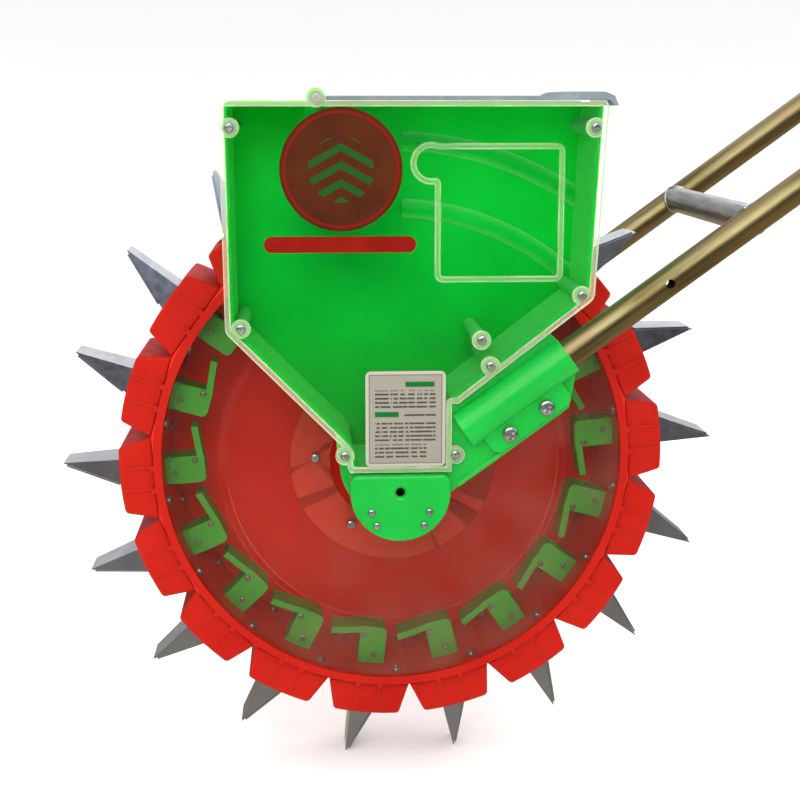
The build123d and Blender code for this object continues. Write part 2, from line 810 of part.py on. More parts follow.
# Collar round the feed opening, behind the clear disc, and its screws
collar_face = disc_face + disc_sheet
with BuildPart() as hub_collar:
    with BuildSketch(side_plane(collar_face + collar_thickness)):
        Circle(collar_outer_radius)
        Circle(disc_bore_radius, mode=Mode.SUBTRACT)
    extrude(amount=collar_thickness)
    with BuildSketch(side_plane(collar_face + collar_thickness)):
        with PolarLocations(collar_screw_circle, collar_screw_count, start_angle=collar_screw_angle):
            Circle(collar_screw_diameter / 2)
    extrude(amount=collar_thickness, mode=Mode.SUBTRACT)
hub_collar.part.label = "hub_collar"
export_step(hub_collar.part, "parts/hub_collar.step")

collar_screw = pan_head_screw(
    collar_screw_diameter, collar_screw_head, collar_screw_height, collar_thickness + disc_sheet
)
with BuildPart(side_plane(disc_face)) as hub_collar_screws:
    with PolarLocations(collar_screw_circle, collar_screw_count, start_angle=collar_screw_angle):
        add(collar_screw)
hub_collar_screws.part.label = "hub_collar_screws"
export_step(hub_collar_screws.part, "parts/hub_collar_screws.step")

# Back disc, ribbed on the far side
back_face = rim_half_width + back_disc_thickness
with BuildPart() as drum_back_disc:
    with BuildSketch(side_plane(back_face)):
        Circle(back_disc_radius)
        Circle(hub_radius, mode=Mode.SUBTRACT)
    extrude(amount=back_disc_thickness)
    with BuildSketch(side_plane(back_face)):
        for radius in (back_rib_outer, back_ring_radius):
            Circle(radius + back_rib_width / 2)
            Circle(radius - back_rib_width / 2, mode=Mode.SUBTRACT)
        with PolarLocations((back_rib_inner + back_rib_outer) / 2, back_rib_count):
            Rectangle(back_rib_outer - back_rib_inner, back_rib_width)
        Circle(hub_flange_radius, mode=Mode.SUBTRACT)
    extrude(amount=-back_rib_height)
    with BuildSketch(side_plane(back_face)):
        with PolarLocations(hub_screw_circle, hub_screw_count):
            Circle(hub_screw_diameter / 2)
    extrude(amount=back_disc_thickness, mode=Mode.SUBTRACT)
drum_back_disc.part.label = "drum_back_disc"
export_step(drum_back_disc.part, "parts/drum_back_disc.step")

# Hub with a bearing seat at each end
with BuildPart() as wheel_hub:
    with BuildSketch(side_plane(hub_far_end)):
        Circle(hub_radius)
    extrude(amount=hub_far_end - hub_near_end)
    with BuildSketch(side_plane(back_face + hub_flange_thickness)):
        Circle(hub_flange_radius)
    extrude(amount=hub_flange_thickness)
    with BuildSketch(side_plane(hub_far_end)):
        Circle(hub_bore_radius)
    extrude(amount=hub_far_end - hub_near_end, mode=Mode.SUBTRACT)
    for seat in (hub_near_end + bearing_setback + bearing_width, hub_far_end):
        with BuildSketch(side_plane(seat)):
            Circle(bearing_outer_radius)
        extrude(amount=bearing_setback + bearing_width, mode=Mode.SUBTRACT)
    with BuildSketch(side_plane(hub_far_end)):
        with PolarLocations(hub_screw_circle, hub_screw_count):
            Circle(hub_screw_diameter / 2)
    extrude(amount=hub_far_end, mode=Mode.SUBTRACT)
wheel_hub.part.label = "wheel_hub"
export_step(wheel_hub.part, "parts/wheel_hub.step")

hub_screw = pan_head_screw(
    hub_screw_diameter, hub_screw_head, hub_screw_height, hub_flange_thickness + back_disc_thickness
)
with BuildPart(side_plane(back_face + hub_flange_thickness).reverse()) as hub_screws:
    with PolarLocations(hub_screw_circle, hub_screw_count):
        add(hub_screw)
hub_screws.part.label = "hub_screws"
export_step(hub_screws.part, "parts/hub_screws.step")

# Two ball bearings, each a closed ring with its shield set in
for bearing_name, bearing_near in (
    ("bearing_near", hub_near_end + bearing_setback),
    ("bearing_far", hub_far_end - bearing_setback - bearing_width),
):
    with BuildPart() as bearing:
        with BuildSketch(side_plane(bearing_near + bearing_width)):
            Circle(bearing_outer_radius)
            Circle(axle_radius + bearing_clearance, mode=Mode.SUBTRACT)
        extrude(amount=bearing_width)
        with BuildSketch(side_plane(bearing_near), side_plane(bearing_near + bearing_width).reverse()):
            Circle(bearing_outer_radius - bearing_ring_width)
            Circle(axle_radius + bearing_ring_width, mode=Mode.SUBTRACT)
        extrude(amount=-bearing_shield_depth, mode=Mode.SUBTRACT)
    bearing.part.label = bearing_name
    export_step(bearing.part, f"parts/{bearing_name}.step")

# Hollow axle with a thinner far end for the nut
with BuildPart() as axle:
    with BuildSketch(side_plane(far_tube_y + axle_fit)):
        Circle(axle_radius)
    extrude(amount=far_tube_y + axle_fit - axle_near_end)
    with BuildSketch(side_plane(axle_far_end)):
        Circle(axle_stub_radius)
    extrude(amount=axle_far_end - far_tube_y)
    with BuildSketch(side_plane(axle_far_end)):
        Circle(axle_bore_radius)
    extrude(amount=axle_far_end - axle_near_end, mode=Mode.SUBTRACT)
    chamfer(axle.faces().sort_by(Axis.Y)[-1].edges().sort_by(SortBy.LENGTH)[-1], axle_end_chamfer)
axle.part.label = "axle"
export_step(axle.part, "parts/axle.step")

with BuildPart() as axle_washer:
    with BuildSketch(side_plane(far_tube_y + washer_thickness)):
        Circle(washer_radius)
        Circle(axle_radius + axle_fit, mode=Mode.SUBTRACT)
    extrude(amount=washer_thickness)
axle_washer.part.label = "axle_washer"
export_step(axle_washer.part, "parts/axle_washer.step")

with BuildPart() as axle_nut:
    with BuildSketch(side_plane(far_tube_y + washer_thickness + nut_height)):
        RegularPolygon(nut_width / 2, 6, major_radius=False)
        Circle(axle_stub_radius + axle_fit, mode=Mode.SUBTRACT)
    extrude(amount=nut_height)
    chamfer(axle_nut.faces().sort_by(Axis.Y)[-1].edges().filter_by(GeomType.LINE), nut_chamfer)
axle_nut.part.label = "axle_nut"
export_step(axle_nut.part, "parts/axle_nut.step")

with BuildPart() as axle_circlip:
    with BuildSketch(side_plane(hub_near_end)):
        Circle(circlip_radius)
        Circle(axle_radius, mode=Mode.SUBTRACT)
    extrude(amount=circlip_thickness)
axle_circlip.part.label = "axle_circlip"
export_step(axle_circlip.part, "parts/axle_circlip.step")

# Curved ribs that stiffen the right half of the tub's back wall, round the axle
tub_floor_face = hopper_back - hopper_wall
with BuildPart() as tub_ribs:
    for rib_radius in tub_rib_radii:
        with BuildSketch(Plane.XY):
            with BuildLine():
                ThreePointArc(
                    (rib_radius - tub_rib_width / 2, tub_floor_face),
                    (rib_radius, tub_floor_face - tub_rib_height),
                    (rib_radius + tub_rib_width / 2, tub_floor_face),
                )
                Line(
                    (rib_radius + tub_rib_width / 2, tub_floor_face),
                    (rib_radius - tub_rib_width / 2, tub_floor_face),
                )
            make_face()
        revolve(axis=Axis.Y)
    with BuildSketch(side_plane(hopper_back)):
        Polygon(*hopper_outline(), align=None)
        offset(amount=-hopper_wall / 2, mode=Mode.REPLACE)
        with Locations((tub_rib_left, 0)):
            Rectangle(
                hopper_right_top,
                hopper_top,
                align=(Align.MIN, Align.MIN),
                mode=Mode.INTERSECT,
            )
    extrude(amount=hopper_back - hopper_front, mode=Mode.INTERSECT)

# Hopper body: a tub with screw posts, ribs on its back wall and the feed window
with BuildPart() as hopper_body:
    with BuildSketch(side_plane(hopper_back)) as tub_outline:
        Polygon(*hopper_outline(), align=None)
        fillet(tub_outline.vertices(), hopper_corner_radius)
    extrude(amount=hopper_back - hopper_front)
    with BuildSketch(side_plane(hopper_back - hopper_wall)) as tub_inside:
        Polygon(*hopper_outline(), align=None)
        fillet(tub_inside.vertices(), hopper_corner_radius)
        offset(amount=-hopper_wall, mode=Mode.REPLACE)
    extrude(amount=hopper_back - hopper_wall - hopper_front, mode=Mode.SUBTRACT)
    add(tub_ribs.part)
    with BuildSketch(side_plane(hopper_back - hopper_wall)):
        with Locations((mouth_left, hopper_top)):
            Rectangle(
                hopper_right_top - mouth_wall - mouth_left,
                4 * hopper_wall,
                align=(Align.MIN, Align.CENTER),
            )
    extrude(amount=hopper_back - hopper_wall - hopper_front, mode=Mode.SUBTRACT)
    with BuildSketch(side_plane(hopper_back)):
        with Locations(*cover_screw_places):
            Circle(screw_post_radius)
    extrude(amount=hopper_back - hopper_front)
    with BuildSketch(side_plane(hopper_back)):
        with Locations(lid_hinge_place):
            Circle(hinge_eye_radius)
            Rectangle(2 * hinge_eye_radius, 2 * hinge_eye_radius, align=(Align.CENTER, Align.MAX))
    extrude(amount=hinge_eye_thickness)
    with BuildSketch(side_plane(hopper_back)):
        with Locations((0, window_bottom)):
            Rectangle(
                2 * window_half_width,
                window_top - window_bottom,
                align=(Align.CENTER, Align.MIN),
            )
    extrude(amount=hopper_wall, mode=Mode.SUBTRACT)
    with BuildSketch(side_plane(hopper_front)):
        with Locations(*cover_screw_places):
            Circle(cover_screw_diameter / 2 + screw_hole_clearance)
    extrude(amount=-cover_screw_length, mode=Mode.SUBTRACT)
    with BuildSketch(side_plane(hopper_back)):
        with Locations(lid_hinge_place):
            Circle(lid_pin_diameter / 2)
    extrude(amount=hinge_eye_thickness, mode=Mode.SUBTRACT)
hopper_body.part.label = "hopper_body"
export_step(hopper_body.part, "parts/hopper_body.step")

# Near arm: the nose under the hopper with its axle boss, the round feed spout, and the tube's half trough
with BuildPart() as near_arm:
    with BuildSketch(side_plane(hopper_front + nose_plate)):
        Circle(nose_radius)
        with Locations((0, hopper_floor)):
            Rectangle(2 * nose_radius, hopper_floor, align=(Align.CENTER, Align.MAX))
    extrude(amount=nose_plate)
    with BuildSketch(tube_plane(hopper_front + arm_plate)):
        Polygon((arm_start, arm_low), *arm_end_points, (arm_start, arm_high), align=None)
    extrude(amount=arm_plate)
    with BuildSketch(tube_plane(hopper_front)):
        with Locations((nose_radius, arm_low)):
            Rectangle(
                arm_end_points[0][0] - nose_radius, arm_lip_width, align=(Align.MIN, Align.MIN)
            )
    extrude(amount=arm_lip_height)
    with BuildSketch(tube_section(trough_start, near_tube_y)):
        Circle(tube_radius + trough_wall)
        Rectangle(2 * (tube_radius + trough_wall), 2 * (tube_radius + trough_wall),
                  align=(Align.MAX, Align.CENTER), mode=Mode.SUBTRACT)
    extrude(amount=clamp_end - trough_start)
    with BuildSketch(side_plane(axle_boss_back)):
        Circle(axle_boss_radius)
    extrude(amount=axle_boss_back - hopper_front)
    with BuildSketch(side_plane(hopper_back)) as seam:
        Polygon(*hopper_outline(), align=None)
        fillet(seam.vertices(), hopper_corner_radius)
        with Locations(*cover_screw_places):
            Circle(screw_post_radius)
        offset(amount=arm_seam)
    extrude(amount=hopper_back - hopper_front + arm_plate, mode=Mode.SUBTRACT)
    with BuildSketch(side_plane(hopper_back + spout_plate)):
        Circle(spout_outer_radius)
    extrude(amount=spout_plate)
    with BuildSketch(side_plane(hopper_back + spout_reach)):
        Circle(spout_outer_radius)
        Circle(spout_outer_radius - spout_wall, mode=Mode.SUBTRACT)
    extrude(amount=spout_reach)
    with BuildSketch(side_plane(hopper_back + spout_plate)):
        with Locations((0, window_bottom)):
            Rectangle(
                2 * window_half_width,
                window_top - window_bottom,
                align=(Align.CENTER, Align.MIN),
            )
    extrude(amount=spout_plate, mode=Mode.SUBTRACT)
    with BuildSketch(side_plane(axle_boss_back)):
        Circle(axle_radius + axle_fit)
    extrude(amount=axle_boss_back - hopper_front, mode=Mode.SUBTRACT)
    with BuildSketch(tube_section(tube_start, near_tube_y)):
        Circle(tube_radius + tube_grip_clearance)
    extrude(amount=push_bar_place, mode=Mode.SUBTRACT)
    with BuildSketch(side_plane(hopper_front)):
        with Locations(*cap_screw_places):
            Circle(cap_screw_diameter / 2 + screw_hole_clearance)
    extrude(amount=-nose_plate, mode=Mode.SUBTRACT)
    with BuildSketch(tube_plane(hopper_front)):
        with Locations(*clamp_screw_places):
            Circle(clamp_screw_diameter / 2 + screw_hole_clearance)
    extrude(amount=-arm_plate, mode=Mode.SUBTRACT)
near_arm.part.label = "near_arm"
export_step(near_arm.part, "parts/near_arm.step")

# Clear hopper cover
with BuildPart() as hopper_cover:
    with BuildSketch(side_plane(hopper_front)):
        add(cover_face())
        with Locations(*cover_screw_places):
            Circle(cover_boss_radius)
        with Locations(lid_hinge_place):
            Circle(hinge_eye_radius)
    extrude(amount=cover_sheet)
    with BuildSketch(side_plane(cover_front)):
        add(cover_face())
        offset(amount=-cover_rim_width, mode=Mode.SUBTRACT)
        with Locations(*cover_screw_places):
            Circle(cover_boss_radius)
        with Locations(lid_hinge_place):
            Circle(hinge_eye_radius)
    extrude(amount=cover_rim_height)
    with BuildSketch(side_plane(cover_front)) as panel:
        with Locations(((panel_left + panel_right) / 2, (panel_bottom + panel_top) / 2)):
            RectangleRounded(panel_right - panel_left, panel_top - panel_bottom, hopper_corner_radius)
        with Locations(panel_lobe_place):
            Circle(panel_lobe_radius)
        offset(amount=-panel_bead, mode=Mode.SUBTRACT)
    extrude(amount=panel_bead_height)
    with BuildSketch(side_plane(hopper_front)):
        with Locations(*cover_screw_places):
            Circle(cover_screw_diameter / 2 + screw_hole_clearance)
        with Locations(lid_hinge_place):
            Circle(lid_pin_diameter / 2)
    extrude(amount=2 * (cover_sheet + cover_rim_height), mode=Mode.SUBTRACT)
hopper_cover.part.label = "hopper_cover"
export_step(hopper_cover.part, "parts/hopper_cover.step")

cover_screw = pan_head_screw(
    cover_screw_diameter, cover_screw_head, cover_screw_head_height,
    cover_screw_length + cover_sheet + cover_boss_height - cover_screw_end_gap,
)
with BuildPart(side_plane(cover_front - cover_boss_height)) as cover_screws:
    with Locations(*cover_screw_places):
        add(cover_screw)
cover_screws.part.label = "cover_screws"
export_step(cover_screws.part, "parts/cover_screws.step")

# Lid over the hopper mouth, with its barrel between the two hinge eyes
barrel_near = hopper_front + lid_side_gap
barrel_far = hopper_back - hinge_eye_thickness - lid_side_gap
lid_near = hopper_front - lid_overhang_front
lid_far = hopper_back + lid_overhang_back
lid_left = lid_hinge_place[0] + hinge_eye_radius + lid_eye_clearance
with BuildPart() as lid:
    with BuildSketch(side_plane(lid_far)) as lid_profile:
        with BuildLine():
            Polyline(
                (lid_left, lid_bottom),
                (lid_right_end, lid_bottom),
                (lid_right_end + lid_sheet, lid_bottom - lid_lip_drop),
                (lid_right_end + 2 * lid_sheet, lid_bottom - lid_lip_drop),
                (lid_right_end + lid_sheet, lid_bottom + lid_sheet),
                (lid_pad_end, lid_bottom + lid_sheet + lid_pad_height),
                (lid_pad_start + 2 * lid_pad_height, lid_bottom + lid_sheet + lid_pad_height),
                (lid_pad_start, lid_bottom + lid_sheet),
                (lid_left, lid_bottom + lid_sheet),
                close=True,
            )
        make_face()
        fillet(lid_profile.vertices().group_by(Axis.Y)[-1], lid_pad_radius)
    extrude(amount=lid_far - lid_near)
    with BuildSketch(side_plane(barrel_far)):
        with Locations(lid_hinge_place):
            Circle(lid_barrel_radius)
        with Locations((lid_hinge_place[0], lid_bottom)):
            Rectangle(
                lid_left + lid_sheet - lid_hinge_place[0], lid_sheet, align=(Align.MIN, Align.MIN)
            )
    extrude(amount=barrel_far - barrel_near)
    with BuildSketch(side_plane(barrel_far)):
        with Locations(lid_hinge_place):
            Circle(lid_pin_diameter / 2 + knuckle_clearance)
    extrude(amount=barrel_far - barrel_near, mode=Mode.SUBTRACT)
lid.part.label = "lid"
export_step(lid.part, "parts/lid.step")

with BuildPart() as lid_hinge_pin:
    with BuildSketch(side_plane(hopper_back)):
        with Locations(lid_hinge_place):
            Circle(lid_pin_diameter / 2)
    extrude(amount=hopper_back - cover_front + cover_rim_height)
lid_hinge_pin.part.label = "lid_hinge_pin"
export_step(lid_hinge_pin.part, "parts/lid_hinge_pin.step")

# D-shaped cap over the near end of the axle
with BuildPart() as axle_cap:
    with BuildSketch(side_plane(hopper_front)) as cap_outline:
        Circle(cap_radius)
        with Locations((0, cap_top)):
            Rectangle(2 * cap_radius, cap_top, align=(Align.CENTER, Align.MAX))
        with Locations((0, cap_top)):
            Rectangle(2 * cap_radius, cap_radius, align=(Align.CENTER, Align.MIN), mode=Mode.SUBTRACT)
        fillet(cap_outline.vertices().group_by(Axis.Y)[-1], cap_corner_radius)
    extrude(amount=cap_thickness)
    fillet(axle_cap.faces().sort_by(Axis.Y)[0].edges(), cap_edge_radius)
    with BuildSketch(side_plane(hopper_front)):
        Circle(axle_radius + axle_fit)
    extrude(amount=cap_pocket_depth, mode=Mode.SUBTRACT)
    with BuildSketch(side_plane(hopper_front)):
        Circle(axle_bore_radius)
        with Locations(*cap_screw_places):
            Circle(cap_screw_diameter / 2 + screw_hole_clearance)
    extrude(amount=cap_thickness, mode=Mode.SUBTRACT)
    bore_mouth = axle_cap.faces().sort_by(Axis.Y)[0].inner_wires().sort_by(SortBy.LENGTH)[-1]
    chamfer(bore_mouth.edges(), cap_countersink_radius - axle_bore_radius)
axle_cap.part.label = "axle_cap"
export_step(axle_cap.part, "parts/axle_cap.step")

cap_screw = pan_head_screw(cap_screw_diameter, cap_screw_head, cap_screw_height, cap_screw_length)
with BuildPart(side_plane(hopper_front - cap_thickness)) as axle_cap_screws:
    with Locations(*cap_screw_places):
        add(cap_screw)
axle_cap_screws.part.label = "axle_cap_screws"
export_step(axle_cap_screws.part, "parts/axle_cap_screws.step")


def half_clamp(parting_y, outward):
    """Half-shell clamp over a tube, with its screw flange; outward is 1 to the near side, -1 to the far."""
    shell_radius = tube_radius + clamp_wall
    with BuildPart() as clamp:
        with BuildSketch(tube_section(clamp_start, parting_y)):
            Circle(shell_radius)
        extrude(amount=clamp_end - clamp_start)
        with BuildSketch(tube_plane(parting_y)) as flange:
            with Locations(((clamp_flange_start + clamp_flange_end) / 2, 0)):
                Rectangle(
                    clamp_flange_end - clamp_flange_start, -clamp_flange_low,
                    align=(Align.CENTER, Align.MAX),
                )
            fillet(flange.vertices().group_by(Axis.Y)[0], clamp_flange_radius)
        extrude(amount=outward * clamp_flange_thickness)
        with BuildSketch(tube_section(tube_start, parting_y)):
            Circle(tube_radius + tube_grip_clearance)
        extrude(amount=clamp_end - tube_start, mode=Mode.SUBTRACT)
        split(bisect_by=tube_plane(parting_y), keep=Keep.TOP if outward > 0 else Keep.BOTTOM)
        with BuildSketch(tube_plane(parting_y)):
            with Locations(*clamp_screw_places):
                Circle(clamp_screw_diameter / 2 + screw_hole_clearance)
        extrude(amount=outward * clamp_flange_thickness, mode=Mode.SUBTRACT)
    return clamp.part


# Near clamp and its screws
near_half_clamp = half_clamp(hopper_front, 1)
with BuildPart() as tube_clamp:
    add(near_half_clamp)
tube_clamp.part.label = "tube_clamp"
export_step(tube_clamp.part, "parts/tube_clamp.step")

clamp_screw = pan_head_screw(
    clamp_screw_diameter, clamp_screw_head, clamp_screw_head_height, clamp_screw_length
)
with BuildPart(tube_plane(hopper_front - clamp_flange_thickness)) as tube_clamp_screws:
    with Locations(*clamp_screw_places):
        add(clamp_screw)
tube_clamp_screws.part.label = "tube_clamp_screws"
export_step(tube_clamp_screws.part, "parts/tube_clamp_screws.step")

# Far arm, from the axle to the far tube, with its clamp and screws
far_boss_near = hub_far_end + far_boss_gap
with BuildPart() as far_arm:
    with BuildSketch(side_plane(far_tube_y)):
        Circle(far_arm_foot_radius)
    extrude(amount=arm_plate)
    with BuildSketch(tube_plane(far_tube_y)):
        Polygon((0, arm_low + arm_lip_width), *arm_end_points, (arm_start, arm_high), align=None)
    extrude(amount=arm_plate)
    with BuildSketch(tube_section(trough_start, far_tube_y)):
        Circle(tube_radius + trough_wall)
        Rectangle(2 * (tube_radius + trough_wall), 2 * (tube_radius + trough_wall),
                  align=(Align.MIN, Align.CENTER), mode=Mode.SUBTRACT)
    extrude(amount=clamp_end - trough_start)
    with BuildSketch(side_plane(far_tube_y)):
        Circle(far_arm_boss_radius)
    extrude(amount=far_tube_y - far_boss_near)
    with BuildSketch(side_plane(far_tube_y)):
        Circle(axle_radius + axle_fit)
    extrude(amount=far_tube_y - far_boss_near, mode=Mode.SUBTRACT)
    with BuildSketch(tube_section(tube_start, far_tube_y)):
        Circle(tube_radius + tube_grip_clearance)
    extrude(amount=push_bar_place, mode=Mode.SUBTRACT)
    with BuildSketch(tube_plane(far_tube_y)):
        with Locations(*clamp_screw_places):
            Circle(clamp_screw_diameter / 2 + screw_hole_clearance)
    extrude(amount=arm_plate, mode=Mode.SUBTRACT)
far_arm.part.label = "far_arm"
export_step(far_arm.part, "parts/far_arm.step")

far_half_clamp = half_clamp(far_tube_y, -1)
with BuildPart() as far_tube_clamp:
    add(far_half_clamp)
far_tube_clamp.part.label = "far_tube_clamp"
export_step(far_tube_clamp.part, "parts/far_tube_clamp.step")

far_screw_plane = tube_plane(far_tube_y + clamp_flange_thickness)
with BuildPart() as far_clamp_screws:
    for s, n in clamp_screw_places:
        seat = far_screw_plane.from_local_coords((s, n, 0))
        with Locations(Plane(origin=seat, x_dir=(1, 0, 0), z_dir=(0, 1, 0))):
            add(clamp_screw)
far_clamp_screws.part.label = "far_clamp_screws"
export_step(far_clamp_screws.part, "parts/far_clamp_screws.step")

# Handle tubes, crossbar and push bar; each end is cut to sit on the tube that it meets
push_bar_middle = (near_tube_y + far_tube_y) / 2
push_bar_near = push_bar_middle - push_bar_length / 2
push_bar_plane = tube_plane(push_bar_near)
for tube_name, tube_y in (("handle_tube_near", near_tube_y), ("handle_tube_far", far_tube_y)):
    with BuildPart() as handle_tube:
        with BuildSketch(tube_section(tube_start, tube_y)):
            Circle(tube_radius)
            Circle(tube_radius - tube_wall, mode=Mode.SUBTRACT)
        extrude(amount=push_bar_place - tube_start)
        with BuildSketch(tube_plane(tube_y)):
            with Locations((push_bar_place, 0)):
                Circle(tube_radius)
        extrude(amount=tube_radius, both=True, mode=Mode.SUBTRACT)
        if tube_y == near_tube_y:
            with BuildSketch(tube_plane(tube_y)):
                with Locations((tube_hole_place, 0)):
                    Circle(tube_hole_radius)
            extrude(amount=tube_radius, both=True, mode=Mode.SUBTRACT)
    handle_tube.part.label = tube_name
    export_step(handle_tube.part, f"parts/{tube_name}.step")

with BuildPart() as handle_crossbar:
    with BuildSketch(tube_plane(far_tube_y)):
        with Locations((crossbar_place, 0)):
            Circle(tube_radius)
            Circle(tube_radius - tube_wall, mode=Mode.SUBTRACT)
    extrude(amount=tube_gauge)
    for tube_y in (near_tube_y, far_tube_y):
        with BuildSketch(tube_section(tube_start, tube_y)):
            Circle(tube_radius)
        extrude(amount=push_bar_place, mode=Mode.SUBTRACT)
handle_crossbar.part.label = "handle_crossbar"
export_step(handle_crossbar.part, "parts/handle_crossbar.step")

with BuildPart() as push_bar:
    with BuildSketch(push_bar_plane):
        with Locations((push_bar_place, 0)):
            Circle(tube_radius)
            Circle(tube_radius - tube_wall, mode=Mode.SUBTRACT)
    extrude(amount=-push_bar_length)
push_bar.part.label = "push_bar"
export_step(push_bar.part, "parts/push_bar.step")

for grip_name, grip_mouth, outward in (
    ("grip_near", push_bar_near + grip_length, 1),
    ("grip_far", push_bar_near + push_bar_length - grip_length, -1),
):
    with BuildPart() as grip:
        with BuildSketch(tube_plane(grip_mouth)):
            with Locations((push_bar_place, 0)):
                Circle(grip_radius)
        extrude(amount=outward * (grip_length + grip_end))
        fillet(grip.edges().filter_by(GeomType.CIRCLE), grip_edge_radius)
        with BuildSketch(tube_plane(grip_mouth)):
            with Locations((push_bar_place, 0)):
                Circle(tube_radius)
        extrude(amount=outward * grip_length, mode=Mode.SUBTRACT)
    grip.part.label = grip_name
    export_step(grip.part, f"parts/{grip_name}.step")

# Spec plate and round decal, stuck on the front of the cover
with BuildPart() as spec_plate:
    with BuildSketch(side_plane(cover_front)):
        with Locations(((plate_left + plate_right) / 2, (plate_bottom + plate_top) / 2)):
            RectangleRounded(plate_right - plate_left, plate_top - plate_bottom, plate_corner_radius)
    extrude(amount=plate_thickness)
spec_plate.part.label = "spec_plate"
export_step(spec_plate.part, "parts/spec_plate.step")

with BuildPart() as round_decal:
    with BuildSketch(side_plane(cover_front)):
        with Locations(decal_place):
            Circle(decal_radius)
    extrude(amount=decal_thickness)
round_decal.part.label = "round_decal"
export_step(round_decal.part, "parts/round_decal.step")

print("hinge place", [round(v, 3) for v in hinge_place])
print("beak opening room", round(chute_trail - ear_out, 2))
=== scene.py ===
# %% [markdown]
# A walk-behind seed planter
#
# The planter is a wheel with beaks round its rim. As it rolls, spoons inside the drum lift seed out of
# the hopper's feed and drop it into the beaks, which press it into the soil. The solids come from the
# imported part. They could be modelled again here, but they already have their shapes and sizes, so they
# only get their materials. Pieces that a solid modeller makes poorly (ribbed rubber grips, wound springs,
# weld beads, a thin sticker) are added as surfaces worked out with numpy.

# %% Load the frame
import json
import bmesh
import bpy
import numpy as np
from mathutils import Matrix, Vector


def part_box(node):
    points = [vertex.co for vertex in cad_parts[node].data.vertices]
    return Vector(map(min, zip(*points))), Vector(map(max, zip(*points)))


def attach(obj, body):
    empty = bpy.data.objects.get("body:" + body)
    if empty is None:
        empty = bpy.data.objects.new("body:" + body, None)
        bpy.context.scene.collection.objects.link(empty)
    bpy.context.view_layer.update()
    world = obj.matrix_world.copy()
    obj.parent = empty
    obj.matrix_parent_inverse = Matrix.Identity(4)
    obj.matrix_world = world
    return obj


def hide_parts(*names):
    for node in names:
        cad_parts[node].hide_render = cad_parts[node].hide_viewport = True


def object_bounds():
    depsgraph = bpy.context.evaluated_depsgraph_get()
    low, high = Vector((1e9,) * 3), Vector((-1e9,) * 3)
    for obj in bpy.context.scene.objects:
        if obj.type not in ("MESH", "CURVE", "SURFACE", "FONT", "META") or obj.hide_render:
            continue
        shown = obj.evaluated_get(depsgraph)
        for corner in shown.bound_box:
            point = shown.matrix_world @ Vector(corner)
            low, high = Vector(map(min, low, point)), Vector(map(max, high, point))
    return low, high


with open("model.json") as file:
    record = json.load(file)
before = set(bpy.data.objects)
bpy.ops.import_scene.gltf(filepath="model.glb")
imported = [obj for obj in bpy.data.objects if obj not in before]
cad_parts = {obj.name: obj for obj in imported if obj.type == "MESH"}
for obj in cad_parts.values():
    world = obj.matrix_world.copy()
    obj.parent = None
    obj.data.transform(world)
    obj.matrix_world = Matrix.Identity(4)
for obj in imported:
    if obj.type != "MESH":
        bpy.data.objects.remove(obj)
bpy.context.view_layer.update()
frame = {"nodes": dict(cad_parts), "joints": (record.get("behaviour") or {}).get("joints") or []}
nodes = frame["nodes"]
MM = 0.001

# %% [markdown]
# Colours and shader nodes
#
# A colour picked off a sample is an sRGB value, and shaders work in linear light, so one function turns
# the first into the second. A material could be put together by hand in the shader editor. Here a small
# function adds each node, because a whole material then reads in a few lines: what it is handed for a
# socket is either a constant or another node's output to link there.


# %% Colours and nodes
def srgb(code):
    """Linear RGBA of a hex sRGB colour: each channel over 255, then the inverse of the sRGB curve."""
    part = np.array([int(code[i:i + 2], 16) for i in (1, 3, 5)]) / 255
    linear = np.where(part <= 0.04045, part / 12.92, ((part + 0.055) / 1.055) ** 2.4)
    return (*linear.tolist(), 1.0)


def add(tree, kind, sockets=None, **settings):
    """Adds one shader node with its settings, fills or links its input sockets, and gives its outputs."""
    made = tree.nodes.new("ShaderNode" + kind)
    for key, value in settings.items():
        setattr(made, key, value)
    for key, value in (sockets or {}).items():
        if isinstance(value, bpy.types.NodeSocket):
            tree.links.new(value, made.inputs[key])
        else:
            made.inputs[key].default_value = value
    return made.outputs


def new_material(name):
    """A material with an empty node tree, and that tree."""
    material = bpy.data.materials.new(name)
    material.use_nodes = True
    material.node_tree.nodes.clear()
    return material, material.node_tree


print("middle grey in linear light:", round(srgb("#808080")[0], 3))

# %% [markdown]
# Patterns
#
# No real surface is even all over. A few patterns, each made of several nodes, serve all the finishes:
# lumps of a real size, a change of tone that follows a pattern, and which way a face looks. They could be
# painted as pictures, but noise in the object's own coordinates needs no unwrapping and keeps its size on
# every piece. Noise seldom leaves its middle range, so a change of tone is laid between two ends inside
# it.

# %% Patterns
NOISE_ENDS = (0.3, 0.7)
LOW_DETAIL, MIDDLE_DETAIL, HIGH_DETAIL = 2.0, 3.0, 4.0


def lumps(tree, size_mm, detail=MIDDLE_DETAIL, stretch=(1, 1, 1), turn=0.0):
    """Noise whose lumps are about size_mm across, drawn out along each axis by its stretch, with the axes
    first swung about Y by turn."""
    sockets = {"Vector": add(tree, "TexCoord")["Object"], "Rotation": (0, turn, 0), "Scale": stretch}
    laid = add(tree, "Mapping", sockets, vector_type="TEXTURE")[0]
    return add(tree, "TexNoise", {"Vector": laid, "Scale": 1 / (size_mm * MM), "Detail": detail})[0]


def tone(tree, pattern, ends, first, second, most=1.0):
    """Colour that goes from first to second while the pattern goes from one end to the other, but no
    further than the share called most."""
    sockets = {"Value": pattern, "From Min": ends[0], "From Max": ends[1], "To Max": most}
    share = add(tree, "MapRange", sockets)[0]
    return add(tree, "Mix", {0: share, 6: first, 7: second}, data_type="RGBA")[2]


